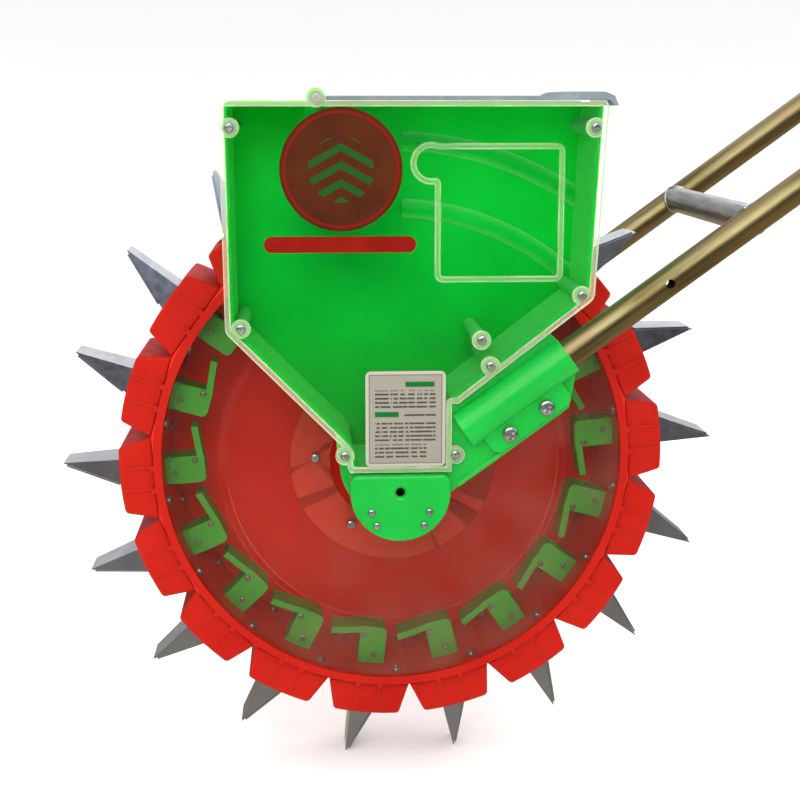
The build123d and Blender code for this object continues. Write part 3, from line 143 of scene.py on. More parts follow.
def flatness(tree, soft):
    """1 on a flat face and less on an edge: the softened normal's product with the true one."""
    true = add(tree, "NewGeometry")["Normal"]
    return add(tree, "VectorMath", {0: soft, 1: true}, operation="DOT_PRODUCT")["Value"]


def squareness(tree, soft):
    """1 on a face that looks along the axle and 0 on one that stands across it: the size of the normal's
    Y."""
    along = add(tree, "SeparateXYZ", {0: soft})["Y"]
    return add(tree, "Math", {0: along}, operation="ABSOLUTE")[0]


print("patterns are sized in millimetres,", round(1 / MM), "to Blender's metre")

# %% [markdown]
# Moulded plastics
#
# The arms, hopper, blocks and spoons are injection mouldings in solid colours. One even colour under a
# gloss would look painted, so the faint unevenness of a moulding goes into the colour, the gloss and the
# height. Edges are rounded by a millimetre and painted paler: they are rubbed, and the paler tone is also a
# painted highlight for the light that leaks out of them. They could be rounded in the mesh, but a bevel node
# softens the normal there and leaves the solids as they are. The hopper is thin, so light spreads inside its
# walls, and those that don't look along the axle are lit from outside too: they are painted paler, as painted
# light. The hopper and the drum lie in shade behind clear sheets, so they have plastics of their own whose
# colours are brighter than the outer ones, as painted light.

# %% Opaque plastics
STYRENE_IOR = 1.49
BEVEL_RAYS = 4
MOULD_RADIUS = 1.0
FLOW_SIZE, SHEEN_SIZE = 60, 9
SHEEN_BELOW, SHEEN_ABOVE = 0.05, 0.06
# a mould's own grain is finer than this, and is drawn as coarse as it needs to show
GRAIN_SIZE, GRAIN_DEPTH, GRAIN_STRENGTH = 1.2, 0.2, 0.04
# SIDE_ sets how sides across the axle are painted paler as painted light; EDGE_ sets how edges are painted
# paler, for rubbing and as a painted highlight
SIDE_ENDS, SIDE_SHARE = (0.97, 0.5), 0.6
EDGE_ENDS, EDGE_SHARE = (0.99, 0.8), 0.7
GREEN_SPREAD = (0.3, 1.0, 0.5)


def moulded(name, dark, light, edge, roughness, shine, spread_mm=0.0, dust_and_painted_light=None):
    """Solid-coloured moulding in two close tones, with edges painted paler, for rubbing and as a painted
    highlight, and, if asked, sides painted paler as painted light.
    """
    material, tree = new_material(name)
    soft = add(tree, "Bevel", {"Radius": MOULD_RADIUS * MM}, samples=BEVEL_RAYS)[0]
    colour = tone(tree, lumps(tree, FLOW_SIZE, LOW_DETAIL), NOISE_ENDS, srgb(dark), srgb(light))
    if dust_and_painted_light:
        # painted light: faces that don't look along the axle are made paler
        colour = tone(tree, squareness(tree, soft), SIDE_ENDS, colour, srgb(dust_and_painted_light), SIDE_SHARE)
    # painted highlight, and rubbing: edges are made paler
    colour = tone(tree, flatness(tree, soft), EDGE_ENDS, colour, srgb(edge), EDGE_SHARE)
    gloss = {"Value": lumps(tree, SHEEN_SIZE), "From Min": NOISE_ENDS[0], "From Max": NOISE_ENDS[1]}
    gloss |= {"To Min": roughness - SHEEN_BELOW, "To Max": roughness + SHEEN_ABOVE}
    grain = {"Height": lumps(tree, GRAIN_SIZE), "Distance": GRAIN_DEPTH * MM}
    grain |= {"Strength": GRAIN_STRENGTH, "Normal": soft}
    sockets = {"Base Color": colour, "Roughness": add(tree, "MapRange", gloss)[0], "IOR": STYRENE_IOR}
    sockets |= {"Specular IOR Level": shine, "Normal": add(tree, "Bump", grain)[0]}
    if spread_mm:
        sockets |= {"Subsurface Weight": 1.0, "Subsurface Scale": spread_mm * MM}
        sockets |= {"Subsurface Radius": GREEN_SPREAD}
    add(tree, "OutputMaterial", {"Surface": add(tree, "BsdfPrincipled", sockets)[0]})
    return material


# thick glossy green: bright broad highlights, yellowish edges, rubbed and with a painted highlight
green = moulded("green moulded plastic", "#08942F", "#0E9E35", "#6CCB50", roughness=0.26, shine=0.22)
# thin green wall lit from both sides: it glows; its colour is brighter than the outer green as painted
# light, and its sides are painted paler as painted light
hopper_green = moulded("thin green plastic", "#00BC38", "#04C840", "#58DC50", roughness=0.34, shine=0.1,
                       spread_mm=8, dust_and_painted_light="#7CE890")
# spoons behind the red-tinged disc: a plain mid green
spoon_green = moulded("spoon moulded plastic", "#40A438", "#4AB040", "#6CBC48", roughness=0.34, shine=0.16)
# outer red mouldings: deep red with a faint sheen
red = moulded("red moulded plastic", "#A0140B", "#AA1A0F", "#C43A28", roughness=0.45, shine=0.06)
# drum walls behind the clear disc: a lighter red, painted light for the shade inside the drum
drum_red = moulded("red drum plastic", "#D81C10", "#E02818", "#E8402C", roughness=0.36, shine=0.12)
# hub collar behind the disc: a dull red, made pale as painted light against its shadow
dull_red = moulded("dull red plastic", "#C04434", "#CA4E3A", "#B0503C", roughness=0.4, shine=0.1)
print("plastics:", [m.name for m in (green, hopper_green, spoon_green, red, drum_red, dull_red)])

# %% [markdown]
# Cloud in clear plastic
#
# The hopper's cover and the drum's side disc are clear styrene sheets, but nowhere quite clear. Cut and
# moulded edges gather light and look pale, here more and there less: they are the faces that don't look
# along the axle. The cover's rim, bosses and bead stand proud of its sheet and get a pale cloud, a painted
# reflection of the light caught in their thick plastic. The side disc is scuffed by seed and soil, and dust
# lies on it in patches; they thicken towards its lower back as a painted reflection of bright surroundings.
# Each could be a painted mask. Here three shares are added up in the shader instead, because the normal
# and the place are enough to tell them apart.

# %% Cloud in a clear sheet
RIM_ENDS = (0.98, 0.6)
GATHER_SIZE, GATHER_ENDS, GATHER_LEAST = 22, (0.35, 0.6), 0.4
LOWER_BACK = (1.0, 0.0, -1.0)
# painted reflection: where the disc's cloud starts and stops thickening towards the lower back
REFLECTION_RAMP_START, REFLECTION_RAMP_END, REFLECTION_RAMP_LEAST = -60, 160, 0.1
DUST_SIZE, DUST_ENDS = 45, (0.35, 0.7)
PROUD_START, PROUD_END = -153.9, -154.9


def cloudiness(tree, square, haze, edge, proud):
    """Share of cloud, the sum of three: up to edge where the sheet isn't square to the axle, uneven by
    lumps; up to haze in patches of dust that thicken towards the lower back as a painted reflection; and
    up to proud on what stands out from it, a painted reflection too."""
    gathered = {"Value": lumps(tree, GATHER_SIZE), "From Min": GATHER_ENDS[0], "From Max": GATHER_ENDS[1]}
    gathered |= {"To Min": edge * GATHER_LEAST, "To Max": edge}
    rim = {"Value": square, "From Min": RIM_ENDS[0], "From Max": RIM_ENDS[1]}
    rim |= {"To Max": add(tree, "MapRange", gathered)[0]}
    place = add(tree, "TexCoord")["Object"]
    back = add(tree, "VectorMath", {0: place, 1: LOWER_BACK}, operation="DOT_PRODUCT")["Value"]
    # painted reflection: the cloud thickens towards the lower back
    painted_reflection_ramp = {"Value": back, "From Min": REFLECTION_RAMP_START * MM, "From Max": REFLECTION_RAMP_END * MM}
    painted_reflection_ramp |= {"To Min": haze * REFLECTION_RAMP_LEAST, "To Max": haze}
    dust_and_painted_light = {"Value": lumps(tree, DUST_SIZE, HIGH_DETAIL), "From Min": DUST_ENDS[0], "From Max": DUST_ENDS[1]}
    dust_and_painted_light |= {"To Max": add(tree, "MapRange", painted_reflection_ramp)[0]}
    depth = add(tree, "SeparateXYZ", {0: place})["Y"]
    # painted reflection: what stands proud of the cover's sheet gets a pale cloud
    outer = {"Value": depth, "From Min": PROUD_START * MM, "From Max": PROUD_END * MM, "To Max": proud}
    rim, dust_and_painted_light, outer = (add(tree, "MapRange", each)[0] for each in (rim, dust_and_painted_light, outer))
    both = add(tree, "Math", {0: rim, 1: dust_and_painted_light}, operation="ADD")[0]
    return add(tree, "Math", {0: both, 1: outer}, operation="ADD", use_clamp=True)[0]


print("what lies beyond", PROUD_START, "mm along the axle stands proud of the cover's sheet")

# %% [markdown]
# Clear plastics
#
# A clear sheet lets light through and mirrors a few per cent of it, more at grazing angles. Refraction
# could be traced, but a thin sheet hardly bends what is behind it, and the paths through its two walls
# would stay grainy. So light passes straight through here, and the cloud and the mirror are mixed over
# that. The cover's mirror is sharp, and the scuffed disc's is dull.

# %% Clear plastics
SHEET_IOR = 1.45
SHEET_ENDS = (0.85, 0.95)


def clear(name, tint, cloud, haze, edge, edge_mm, scuffed, glint, proud=0.0):
    """Clear sheet: see-through with a share of cloud, under a mirror that grows with the grazing angle,
    is blurred by scuffed, and is cut down to glint on the edges."""
    material, tree = new_material(name)
    soft = add(tree, "Bevel", {"Radius": edge_mm * MM}, samples=BEVEL_RAYS)[0]
    square = squareness(tree, soft)
    through = add(tree, "BsdfTransparent", {"Color": srgb(tint)})[0]
    clouded = add(tree, "BsdfDiffuse", {"Color": srgb(cloud)})[0]
    share = cloudiness(tree, square, haze, edge, proud)
    body = add(tree, "MixShader", {0: share, 1: through, 2: clouded})[0]
    kept = {"Value": square, "From Min": SHEET_ENDS[0], "From Max": SHEET_ENDS[1], "To Min": glint}
    bounced = {0: add(tree, "Fresnel", {"IOR": SHEET_IOR})[0], 1: add(tree, "MapRange", kept)[0]}
    mirror = add(tree, "BsdfAnisotropic", {"Color": srgb("#FFFFFF"), "Roughness": scuffed})[0]
    mirrored = add(tree, "Math", bounced, operation="MULTIPLY")[0]
    sheet = add(tree, "MixShader", {0: mirrored, 1: body, 2: mirror})[0]
    add(tree, "OutputMaterial", {"Surface": sheet})
    return material


# water-clear sheet with pale cream edges and sharp reflections
cover_clear = clear("clear styrene cover", "#FDFEFC", "#E4E4C4", haze=0.001, edge=0.7, edge_mm=1.4,
                    scuffed=0.06, glint=1.0, proud=0.24)
# scuffed sheet: dull reflections, a pink cloud in patches, dark thin edges
disc_clear = clear("clear styrene disc", "#FCF6F4", "#B87664", haze=0.08, edge=0.1, edge_mm=1.0,
                   scuffed=0.22, glint=0.0)
print("clear sheets:", cover_clear.name, disc_clear.name)

# %% [markdown]
# The handle's slope
#
# The handle's tubes are drawn, which leaves streaks along them, so the pattern on them has to follow the
# slope of the handle. It could be typed in as a number. It is worked out from the middles of two solids
# instead, the push bar and the crossbar, so that it stays right when the part changes.


# %% The handle's slope
def middle(node):
    """Middle of a solid's box, in millimetres."""
    return np.mean([np.array(corner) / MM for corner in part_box(node)], axis=0)


bar_middle = middle("push_bar")
crossing = middle("handle_crossbar")
slope = np.arctan2(bar_middle[2] - crossing[2], bar_middle[0] - crossing[0])
print("the handle rises by", round(float(np.degrees(slope)), 1), "degrees")

# %% [markdown]
# Metals
#
# The beaks are pressed from bright sheet, the screws are zinc plated, and the tubes wear the thin yellow
# chromate that shifts between gold, green and pink. Tube and sheet are drawn or rolled, which leaves
# streaks. An anisotropic shader could stretch the highlights, but its direction would have to be laid out
# piece by piece. Noise that is stretched in one direction gives the streaks instead, in the colour, the
# gloss and the height.

# %% Metals
METAL_ENDS = (0.35, 0.6)
THIRD_SIZE, THIRD_ENDS, THIRD_SHARE = 0.6, (0.52, 0.68), 0.8
CHEEK_ENDS, CHEEK_SHARE = (0.6, 0.9), 0.8
# real streaks are as fine as hairs, and are drawn as coarse as they need to show
STREAK_SIZE, STREAK_STRENGTH = 0.12, 0.012
STREAK_BELOW, STREAK_ABOVE = 0.04, 0.05


def plated(name, low, high, third, roughness, grain, size_mm, edge_mm=0.4, turn=0.0, cheek=None):
    """Metal in two tones with patches of a third, drawn out along the grain, and finer streaks in its
    gloss. Faces that look along the axle can have a tone of their own, a painted reflection of dark
    surroundings."""
    material, tree = new_material(name)
    soft = add(tree, "Bevel", {"Radius": edge_mm * MM}, samples=BEVEL_RAYS)[0]
    slow = lumps(tree, size_mm, MIDDLE_DETAIL, grain, turn)
    colour = tone(tree, slow, METAL_ENDS, srgb(low), srgb(high))
    patchy = lumps(tree, size_mm * THIRD_SIZE, MIDDLE_DETAIL, grain, turn)
    colour = tone(tree, patchy, THIRD_ENDS, colour, srgb(third), THIRD_SHARE)
    # painted reflection: faces that look along the axle take the darker cheek tone
    if cheek:
        colour = tone(tree, squareness(tree, soft), CHEEK_ENDS, colour, srgb(cheek), CHEEK_SHARE)
    streaks = lumps(tree, size_mm * STREAK_SIZE, LOW_DETAIL, grain, turn)
    gloss = {"Value": streaks, "From Min": NOISE_ENDS[0], "From Max": NOISE_ENDS[1]}
    gloss |= {"To Min": roughness - STREAK_BELOW, "To Max": roughness + STREAK_ABOVE}
    relief = {"Height": streaks, "Distance": GRAIN_DEPTH * MM, "Strength": STREAK_STRENGTH, "Normal": soft}
    sockets = {"Base Color": colour, "Metallic": 1.0, "Roughness": add(tree, "MapRange", gloss)[0]}
    sockets |= {"Normal": add(tree, "Bump", relief)[0]}
    add(tree, "OutputMaterial", {"Surface": add(tree, "BsdfPrincipled", sockets)[0]})
    return material


EVEN, ALONG_AXLE = (1, 1, 1), (1, 14, 1)
# pressed sheet: near white plates polished by the soil, blue-grey cheeks darkened as a painted
# reflection of dark surroundings
bright_steel = plated("bright pressed steel", "#C6C8D0", "#D6D8DC", "#B6BAC8", roughness=0.33,
                      grain=(1, 3, 1), size_mm=45, cheek="#7C829C")
# plated screws and pins: small bright glints
zinc = plated("bright zinc plate", "#A8ACB2", "#C2C6CA", "#989EA8", roughness=0.33, grain=EVEN,
              size_mm=8, edge_mm=0.15)
# chromated tubes: gold with brown and pinkish streaks along them
chromate = plated("yellow chromate zinc", "#564C2A", "#7C7250", "#84664A", roughness=0.4, grain=(14, 1, 1),
                  size_mm=7, turn=-slope)
# the same plating with its streaks along the push bar
chromate_bar = plated("yellow chromate bar", "#564C2A", "#7C7250", "#84664A", roughness=0.4, grain=ALONG_AXLE,
                      size_mm=7)
# crossbar and welds: dull light grey
grey_zinc = plated("grey zinc plate", "#8C8D90", "#ACABAA", "#7A7C7E", roughness=0.38, grain=(1, 8, 1),
                   size_mm=6)
# axle and bearings: even, turned and ground
ground_steel = plated("ground steel", "#A8AAAD", "#BBBDBF", "#999CA0", roughness=0.33, grain=EVEN, size_mm=12)
print("metals:", [m.name for m in (bright_steel, zinc, chromate, chromate_bar, grey_zinc, ground_steel)])

# %% [markdown]
# Lid and grips
#
# The lid is a smoky blue-grey sheet with faint scuffs that lets some of the light through. A tinted glass
# shader could do that, but a plain mix of solid and see-through keeps the lid's own colour when it stands
# open against the light. The grips are black rubber, dull and grained, which needs only a bump.

# %% Lid plastic and rubber
CLOSE_ENDS = (0.35, 0.65)
LID_RADIUS, LID_TONE_SIZE, LID_SCUFF_SIZE = 0.8, 18, 6
LID_GLOSS = (0.12, 0.24)
DULL_TONE_SIZE = 14
# rubber's grain is finer than this, and is drawn as coarse as it needs to show
DULL_GRAIN_SIZE, DULL_GRAIN_STRENGTH = 0.6, 0.2


def tinted(name, deep, pale, through, share):
    """Smoky sheet: a share of solid colour in two scuffed tones, and the rest passed straight through."""
    material, tree = new_material(name)
    soft = add(tree, "Bevel", {"Radius": LID_RADIUS * MM}, samples=BEVEL_RAYS)[0]
    colour = tone(tree, lumps(tree, LID_TONE_SIZE, HIGH_DETAIL), CLOSE_ENDS, srgb(deep), srgb(pale))
    gloss = {"Value": lumps(tree, LID_SCUFF_SIZE, HIGH_DETAIL), "From Min": NOISE_ENDS[0]}
    gloss |= {"From Max": NOISE_ENDS[1], "To Min": LID_GLOSS[0], "To Max": LID_GLOSS[1]}
    sockets = {"Base Color": colour, "Roughness": add(tree, "MapRange", gloss)[0]}
    sockets |= {"IOR": STYRENE_IOR, "Normal": soft}
    solid = add(tree, "BsdfPrincipled", sockets)[0]
    passed = add(tree, "BsdfTransparent", {"Color": srgb(through)})[0]
    add(tree, "OutputMaterial", {"Surface": add(tree, "MixShader", {0: share, 1: passed, 2: solid})[0]})
    return material


def matt(name, dark, light, roughness, lift=0.0):
    """Dull grained surface in two close tones; lift adds light of its own."""
    material, tree = new_material(name)
    colour = tone(tree, lumps(tree, DULL_TONE_SIZE), CLOSE_ENDS, srgb(dark), srgb(light))
    grain = {"Height": lumps(tree, DULL_GRAIN_SIZE), "Distance": GRAIN_DEPTH * MM}
    grain |= {"Strength": DULL_GRAIN_STRENGTH}
    sockets = {"Base Color": colour, "Roughness": roughness, "Normal": add(tree, "Bump", grain)[0]}
    sockets |= {"Emission Color": srgb("#FFFFFF"), "Emission Strength": lift}
    add(tree, "OutputMaterial", {"Surface": add(tree, "BsdfPrincipled", sockets)[0]})
    return material


# half see-through lid: pale blue-grey, with a soft mirror of the light above
lid_grey = tinted("smoke tinted plastic", "#7E8892", "#9AA4AC", "#B4BEC4", share=0.45)
# rubber: black without a highlight
rubber = matt("black rubber", "#141414", "#1E1D1B", roughness=0.62)
print("lid and grips:", lid_grey.name, rubber.name)

# %% [markdown]
# Printed films
#
# Three stickers sit on the cover: a pale data plate, a round badge and a red stripe. A print could be a
# picture on the film. Here it is drawn by arithmetic on the point's own place in millimetres, because
# such a drawing stays sharp at any distance and its sizes can be read off. Its elements are a strip
# between two values, a box, and stripes that repeat.

# %% Elements of a print
INK_EDGE = 0.25
WAVE_ENDS = (0.05, 0.3)
WHOLE = (0.0, 1.0)
FILM_ROUGHNESS, FILM_SHINE = 0.35, 0.06


def millimetres(tree):
    """Sideways and upward place of the shaded point, in millimetres."""
    parts = add(tree, "SeparateXYZ", {0: add(tree, "TexCoord")["Object"]})
    return [add(tree, "Math", {0: parts[axis], 1: MM}, operation="DIVIDE")[0] for axis in ("X", "Z")]


def strip(tree, value, low, high):
    """1 while the value lies between low and high, falling to 0 over the width of the ink's edge."""
    offset = add(tree, "Math", {0: value, 1: (low + high) / 2}, operation="SUBTRACT")[0]
    away = add(tree, "Math", {0: offset}, operation="ABSOLUTE")[0]
    half = (high - low) / 2
    edge = {"Value": away, "From Min": half + INK_EDGE, "From Max": half - INK_EDGE}
    return add(tree, "MapRange", edge)[0]


def patch(tree, across, up, box):
    """1 inside a box given as left, right, bottom, top."""
    sides = {0: strip(tree, across, *box[:2]), 1: strip(tree, up, *box[2:])}
    return add(tree, "Math", sides, operation="MULTIPLY")[0]


def waves(tree, value, pitch):
    """1 on stripes that repeat with the pitch along the value and 0 between them: a sine cut near its
    middle."""
    turned = add(tree, "Math", {0: value, 1: 2 * np.pi / pitch}, operation="MULTIPLY")[0]
    sine = add(tree, "Math", {0: turned}, operation="SINE")[0]
    return add(tree, "MapRange", {"Value": sine, "From Min": WAVE_ENDS[0], "From Max": WAVE_ENDS[1]})[0]


def film(name, drawing):
    """Glossy sticker whose colour is what the drawing makes from the material's tree."""
    material, tree = new_material(name)
    sockets = {"Base Color": drawing(tree), "Roughness": FILM_ROUGHNESS, "Specular IOR Level": FILM_SHINE}
    add(tree, "OutputMaterial", {"Surface": add(tree, "BsdfPrincipled", sockets)[0]})
    print(name, len(tree.nodes), "nodes")
    return material


print("an ink edge fades over", 2 * INK_EDGE, "mm")

# %% [markdown]
# The data plate is a pale card with a line round it, two green bars and blocks of rows. Each row could be
# a list of little boxes, but stripes cut by noise that is stretched upwards give uneven dashes with far
# fewer nodes.

# %% Data plate
PLATE_BORDER, PLATE_LINE, PLATE_FIELD = "#9E988E", "#5C6256", "#847E73"
PLATE_GREEN, PLATE_INK = "#0E5C24", "#2C2E28"
PLATE_OUTER, PLATE_INNER = (-23.6, 32.0, 21.0, 89.6), (-22.8, 31.2, 21.8, 88.8)
PLATE_BARS = ((4, 26, 80, 84), (-19, -1, 57, 61))
PLATE_ROWS = ((-19, 27, 63.5, 77.5), (2, 27, 56, 61), (-19, 27, 38.5, 54), (-19, 20, 24, 36))
ROW_PITCH, INK_SHARE = 3.2, 0.9
DASH_SIZE, DASH_DETAIL, DASH_STRETCH, DASH_ENDS = 2.2, 1.0, (1, 1, 8), (0.37, 0.43)


def plate_drawing(tree):
    """Pale border, thin dark line, grey field, two green bars and four blocks of dashed rows."""
    across, up = millimetres(tree)
    colour = srgb(PLATE_BORDER)
    plain = [(PLATE_OUTER, PLATE_LINE), (PLATE_INNER, PLATE_FIELD)]
    plain += [(bar, PLATE_GREEN) for bar in PLATE_BARS]
    for box, ink in plain:
        colour = tone(tree, patch(tree, across, up, box), WHOLE, colour, srgb(ink))
    gaps = {"Value": lumps(tree, DASH_SIZE, DASH_DETAIL, DASH_STRETCH)}
    gaps |= {"From Min": DASH_ENDS[0], "From Max": DASH_ENDS[1]}
    dashes = {0: waves(tree, up, ROW_PITCH), 1: add(tree, "MapRange", gaps)[0]}
    rows = add(tree, "Math", dashes, operation="MULTIPLY")[0]
    for box in PLATE_ROWS:
        block = {0: rows, 1: patch(tree, across, up, box)}
        inked = add(tree, "Math", block, operation="MULTIPLY")[0]
        colour = tone(tree, inked, WHOLE, colour, srgb(PLATE_INK), INK_SHARE)
    return colour


# printed card: a dull pale grey with fine dark rows
plate_film = film("printed plate film", plate_drawing)

# %% [markdown]
# The badge is a brown disc with a thin red ring and green chevrons, like furrows seen from above. The
# ring comes from the distance to the badge's middle. A chevron could be two slanted boxes, but the height
# plus a share of the distance from the middle line makes all of them at once.

# %% Badge
BADGE_RING, BADGE_FIELD = (40.6, 42.4), 24
BADGE_TONE_SIZE = 25
CHEVRON_SLOPE, CHEVRON_PITCH = 0.55, 13
badge_middle = middle("round_decal")


def badge_drawing(tree):
    """Brown disc with a red ring near its edge and green chevrons inside: the height plus a share of the
    distance from the middle line, in waves."""
    across, up = millimetres(tree)
    side = add(tree, "Math", {0: across, 1: badge_middle[0]}, operation="SUBTRACT")[0]
    rise = add(tree, "Math", {0: up, 1: badge_middle[2]}, operation="SUBTRACT")[0]
    place = add(tree, "CombineXYZ", {"X": side, "Y": rise})[0]
    out = add(tree, "VectorMath", {0: place}, operation="LENGTH")["Value"]
    colour = tone(tree, lumps(tree, BADGE_TONE_SIZE), NOISE_ENDS, srgb("#3C1808"), srgb("#4A200C"))
    colour = tone(tree, strip(tree, out, *BADGE_RING), WHOLE, colour, srgb("#6E0E06"))
    beside = add(tree, "Math", {0: side}, operation="ABSOLUTE")[0]
    bent = add(tree, "Math", {0: beside, 1: CHEVRON_SLOPE, 2: rise}, operation="MULTIPLY_ADD")[0]
    inside = {0: waves(tree, bent, CHEVRON_PITCH), 1: strip(tree, out, -BADGE_FIELD, BADGE_FIELD)}
    chevrons = add(tree, "Math", inside, operation="MULTIPLY")[0]
    return tone(tree, chevrons, WHOLE, colour, srgb("#1A4616"))


# printed film: dark brown with a soft gloss and dull inks
badge_film = film("printed badge film", badge_drawing)

# %% [markdown]
# The stripe is plain red. A single colour would look cut out of paper, so its tone changes slowly along
# it.

# %% Stripe print
STRIPE_TONE_SIZE = 20


def stripe_drawing(tree):
    """Plain red with a slow change of tone."""
    return tone(tree, lumps(tree, STRIPE_TONE_SIZE), NOISE_ENDS, srgb("#6E0C04"), srgb("#7A1107"))


# printed film: deep red with a soft gloss
stripe_film = film("printed red film", stripe_drawing)

# %% [markdown]
# Dressing the solids
#
# Every solid is made of one material. The materials could be assigned one by one, but a list for each
# material shows at a glance what is made of it. What isn't listed is a plated screw, pin, nut or washer.

# %% Materials on the solids
made_of = {
    hopper_green: ["hopper_body"],
    green: ["near_arm", "axle_cap", "tube_clamp", "far_arm", "far_tube_clamp"],
    spoon_green: ["seed_spoons"],
    red: ["rim_blocks", "disc_retaining_ring"],
    drum_red: ["rim_segments", "drum_back_disc", "wheel_hub"],
    dull_red: ["hub_collar"],
    cover_clear: ["hopper_cover"],
    disc_clear: ["clear_side_disc"],
    lid_grey: ["lid"],
    bright_steel: ["fixed_beaks"] + [name for name in nodes if name.startswith("movable_beak")],
    ground_steel: ["axle", "bearing_near", "bearing_far"],
    chromate: ["handle_tube_near", "handle_tube_far"],
    chromate_bar: ["push_bar"],
    grey_zinc: ["handle_crossbar"],
    rubber: ["grip_near", "grip_far"],
    plate_film: ["spec_plate"],
    badge_film: ["round_decal"],
}
finish_of = {name: material for material, names in made_of.items() for name in names}
for name, piece in nodes.items():
    piece.data.materials.clear()
    piece.data.materials.append(finish_of.get(name, zinc))
print("dressed:", len(nodes), "of which plated:", len(nodes) - len(finish_of))

# %% [markdown]
# Surfaces from grids
#
# The pieces that follow are not solids from the part. They could be drawn as curves and swept or turned
# by modifiers, but a surface with two parameters, worked out for a whole grid at once, shows in one
# formula how the shape comes about and keeps its sizes exact. A grid can close on itself in either
# direction, and several grids of one shape can share a mesh.

# %% Grid surfaces
POLE_GAP = 0.001


def grid_piece(name, grids, material, closed_along=False, smooth=True):
    """One mesh from an array of grids, shaped (count, along, round, 3) in metres: quads between
    neighbours, wrapping round, and along too where that is closed. Points that coincide, as at a pole,
    are merged."""
    grids = np.asarray(grids, dtype=float)
    index = np.arange(grids[..., 0].size).reshape(grids.shape[:3])
    here = index if closed_along else index[:, :-1]
    ahead = np.roll(index, -1, axis=1) if closed_along else index[:, 1:]
    quads = np.stack([here, np.roll(here, -1, 2), np.roll(ahead, -1, 2), ahead], axis=-1)
    mesh = bpy.data.meshes.new(name)
    mesh.from_pydata(grids.reshape(-1, 3).tolist(), [], quads.reshape(-1, 4).tolist())
    net = bmesh.new()
    net.from_mesh(mesh)
    bmesh.ops.remove_doubles(net, verts=net.verts, dist=POLE_GAP * MM)
    net.to_mesh(mesh)
    net.free()
    mesh.polygons.foreach_set("use_smooth", np.full(len(mesh.polygons), smooth))
    mesh.materials.append(material)
    piece = bpy.data.objects.new(name, mesh)
    bpy.context.scene.collection.objects.link(piece)
    print(name, len(mesh.polygons), "faces")
    return piece


print("points less than", POLE_GAP, "mm apart become one")

# %% [markdown]
# Rubber grips
#
# Each grip is a moulded sleeve pushed over the bar's end: a flared lip, rows of shallow ribs for the
# fingers and a rounded closed end. The ribs could be a bump in the material, but they show in the
# outline, so they are shape. The sleeve is a profile turned about the bar, so one list of radii along the
# bar describes all of it.

# %% Grips
AXLE = np.array([0.0, 1.0, 0.0])
ALONG = np.array([np.cos(slope), 0, np.sin(slope)])
ACROSS = np.array([-np.sin(slope), 0, np.cos(slope)])
bar_line = bar_middle * (1 - AXLE)
TUBE_RADIUS, BORE_GAP = 11.0, 0.05
BORE_RADIUS = TUBE_RADIUS + BORE_GAP
GRIP_RADIUS = 14.6
RIB_HEIGHT, RIB_PITCH = 0.7, 6.5
FIRST_RIB, LAST_RIB, RIB_FADE = 12.0, 14.0, 4.0
LIP_LENGTH, LIP_RADIUS, LIP_FLARE = 8.0, 15.9, 0.3
END_RADIUS, END_WALL = 8.0, 4.0
GRIP_STEPS, GRIP_SIDES = 220, 64


def grip(name, node):
    """Turned sleeve: from the bottom of its bore out along the bore to the mouth, then back along the
    outside, where the radius is even with a cosine rib on it between the first and the last rib, a little
    more at the lip, and it rounds off at the closed end as a quarter circle."""
    near, far = (corner[1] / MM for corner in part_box(node))
    mouth, end = sorted((near, far), key=lambda y: abs(y - bar_middle[1]))
    y = np.linspace(mouth, end, GRIP_STEPS)
    inside, left = np.abs(y - mouth), np.abs(end - y)
    fade = np.clip((inside - FIRST_RIB) / RIB_FADE, 0, 1) * np.clip((left - LAST_RIB) / RIB_FADE, 0, 1)
    radius = GRIP_RADIUS + RIB_HEIGHT * np.cos(2 * np.pi * inside / RIB_PITCH) * fade
    lip = LIP_RADIUS - LIP_FLARE * np.cos(np.pi * inside / LIP_LENGTH)
    radius = np.where(inside < LIP_LENGTH, lip, radius)
    corner = np.clip(1 - left / END_RADIUS, 0, 1)
    radius -= END_RADIUS * (1 - np.sqrt(1 - corner**2))
    bottom = end + np.sign(mouth - end) * END_WALL
    y = np.concatenate([[bottom, bottom, mouth], y, [end]])
    radius = np.concatenate([[0, BORE_RADIUS, BORE_RADIUS], radius, [0]])
    turn = np.linspace(0, 2 * np.pi, GRIP_SIDES, endpoint=False) * np.sign(mouth - end)
    ring = np.cos(turn)[:, None] * ALONG + np.sin(turn)[:, None] * ACROSS
    grid = bar_line + radius[:, None, None] * ring + y[:, None, None] * AXLE
    piece = grid_piece(name, grid[None] * MM, rubber)
    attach(piece, "stand")
    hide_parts(node)


grip("near_rubber_grip", "grip_near")
grip("far_rubber_grip", "grip_far")

# %% [markdown]
# Closing springs
#
# Inside each beak a small torsion spring sits on the hinge pin and shuts the beak. It could be a curve
# with a round bevel. As a formula it is a ring carried along a helix of five and a bit turns, nearly
# touching. All of them are alike, so one is worked out and set on every beak's hinge, in the same mesh.

# %% Springs
WIRE_RADIUS = 0.5
COIL_RADIUS = 2.75
COIL_TURNS = 5.4
COIL_END_GAP = 0.05
COIL_STEPS, WIRE_SIDES = 150, 8
hinges = np.array([j["pos_m"] for j in frame["joints"] if j["name"].startswith("beak_")]) / MM


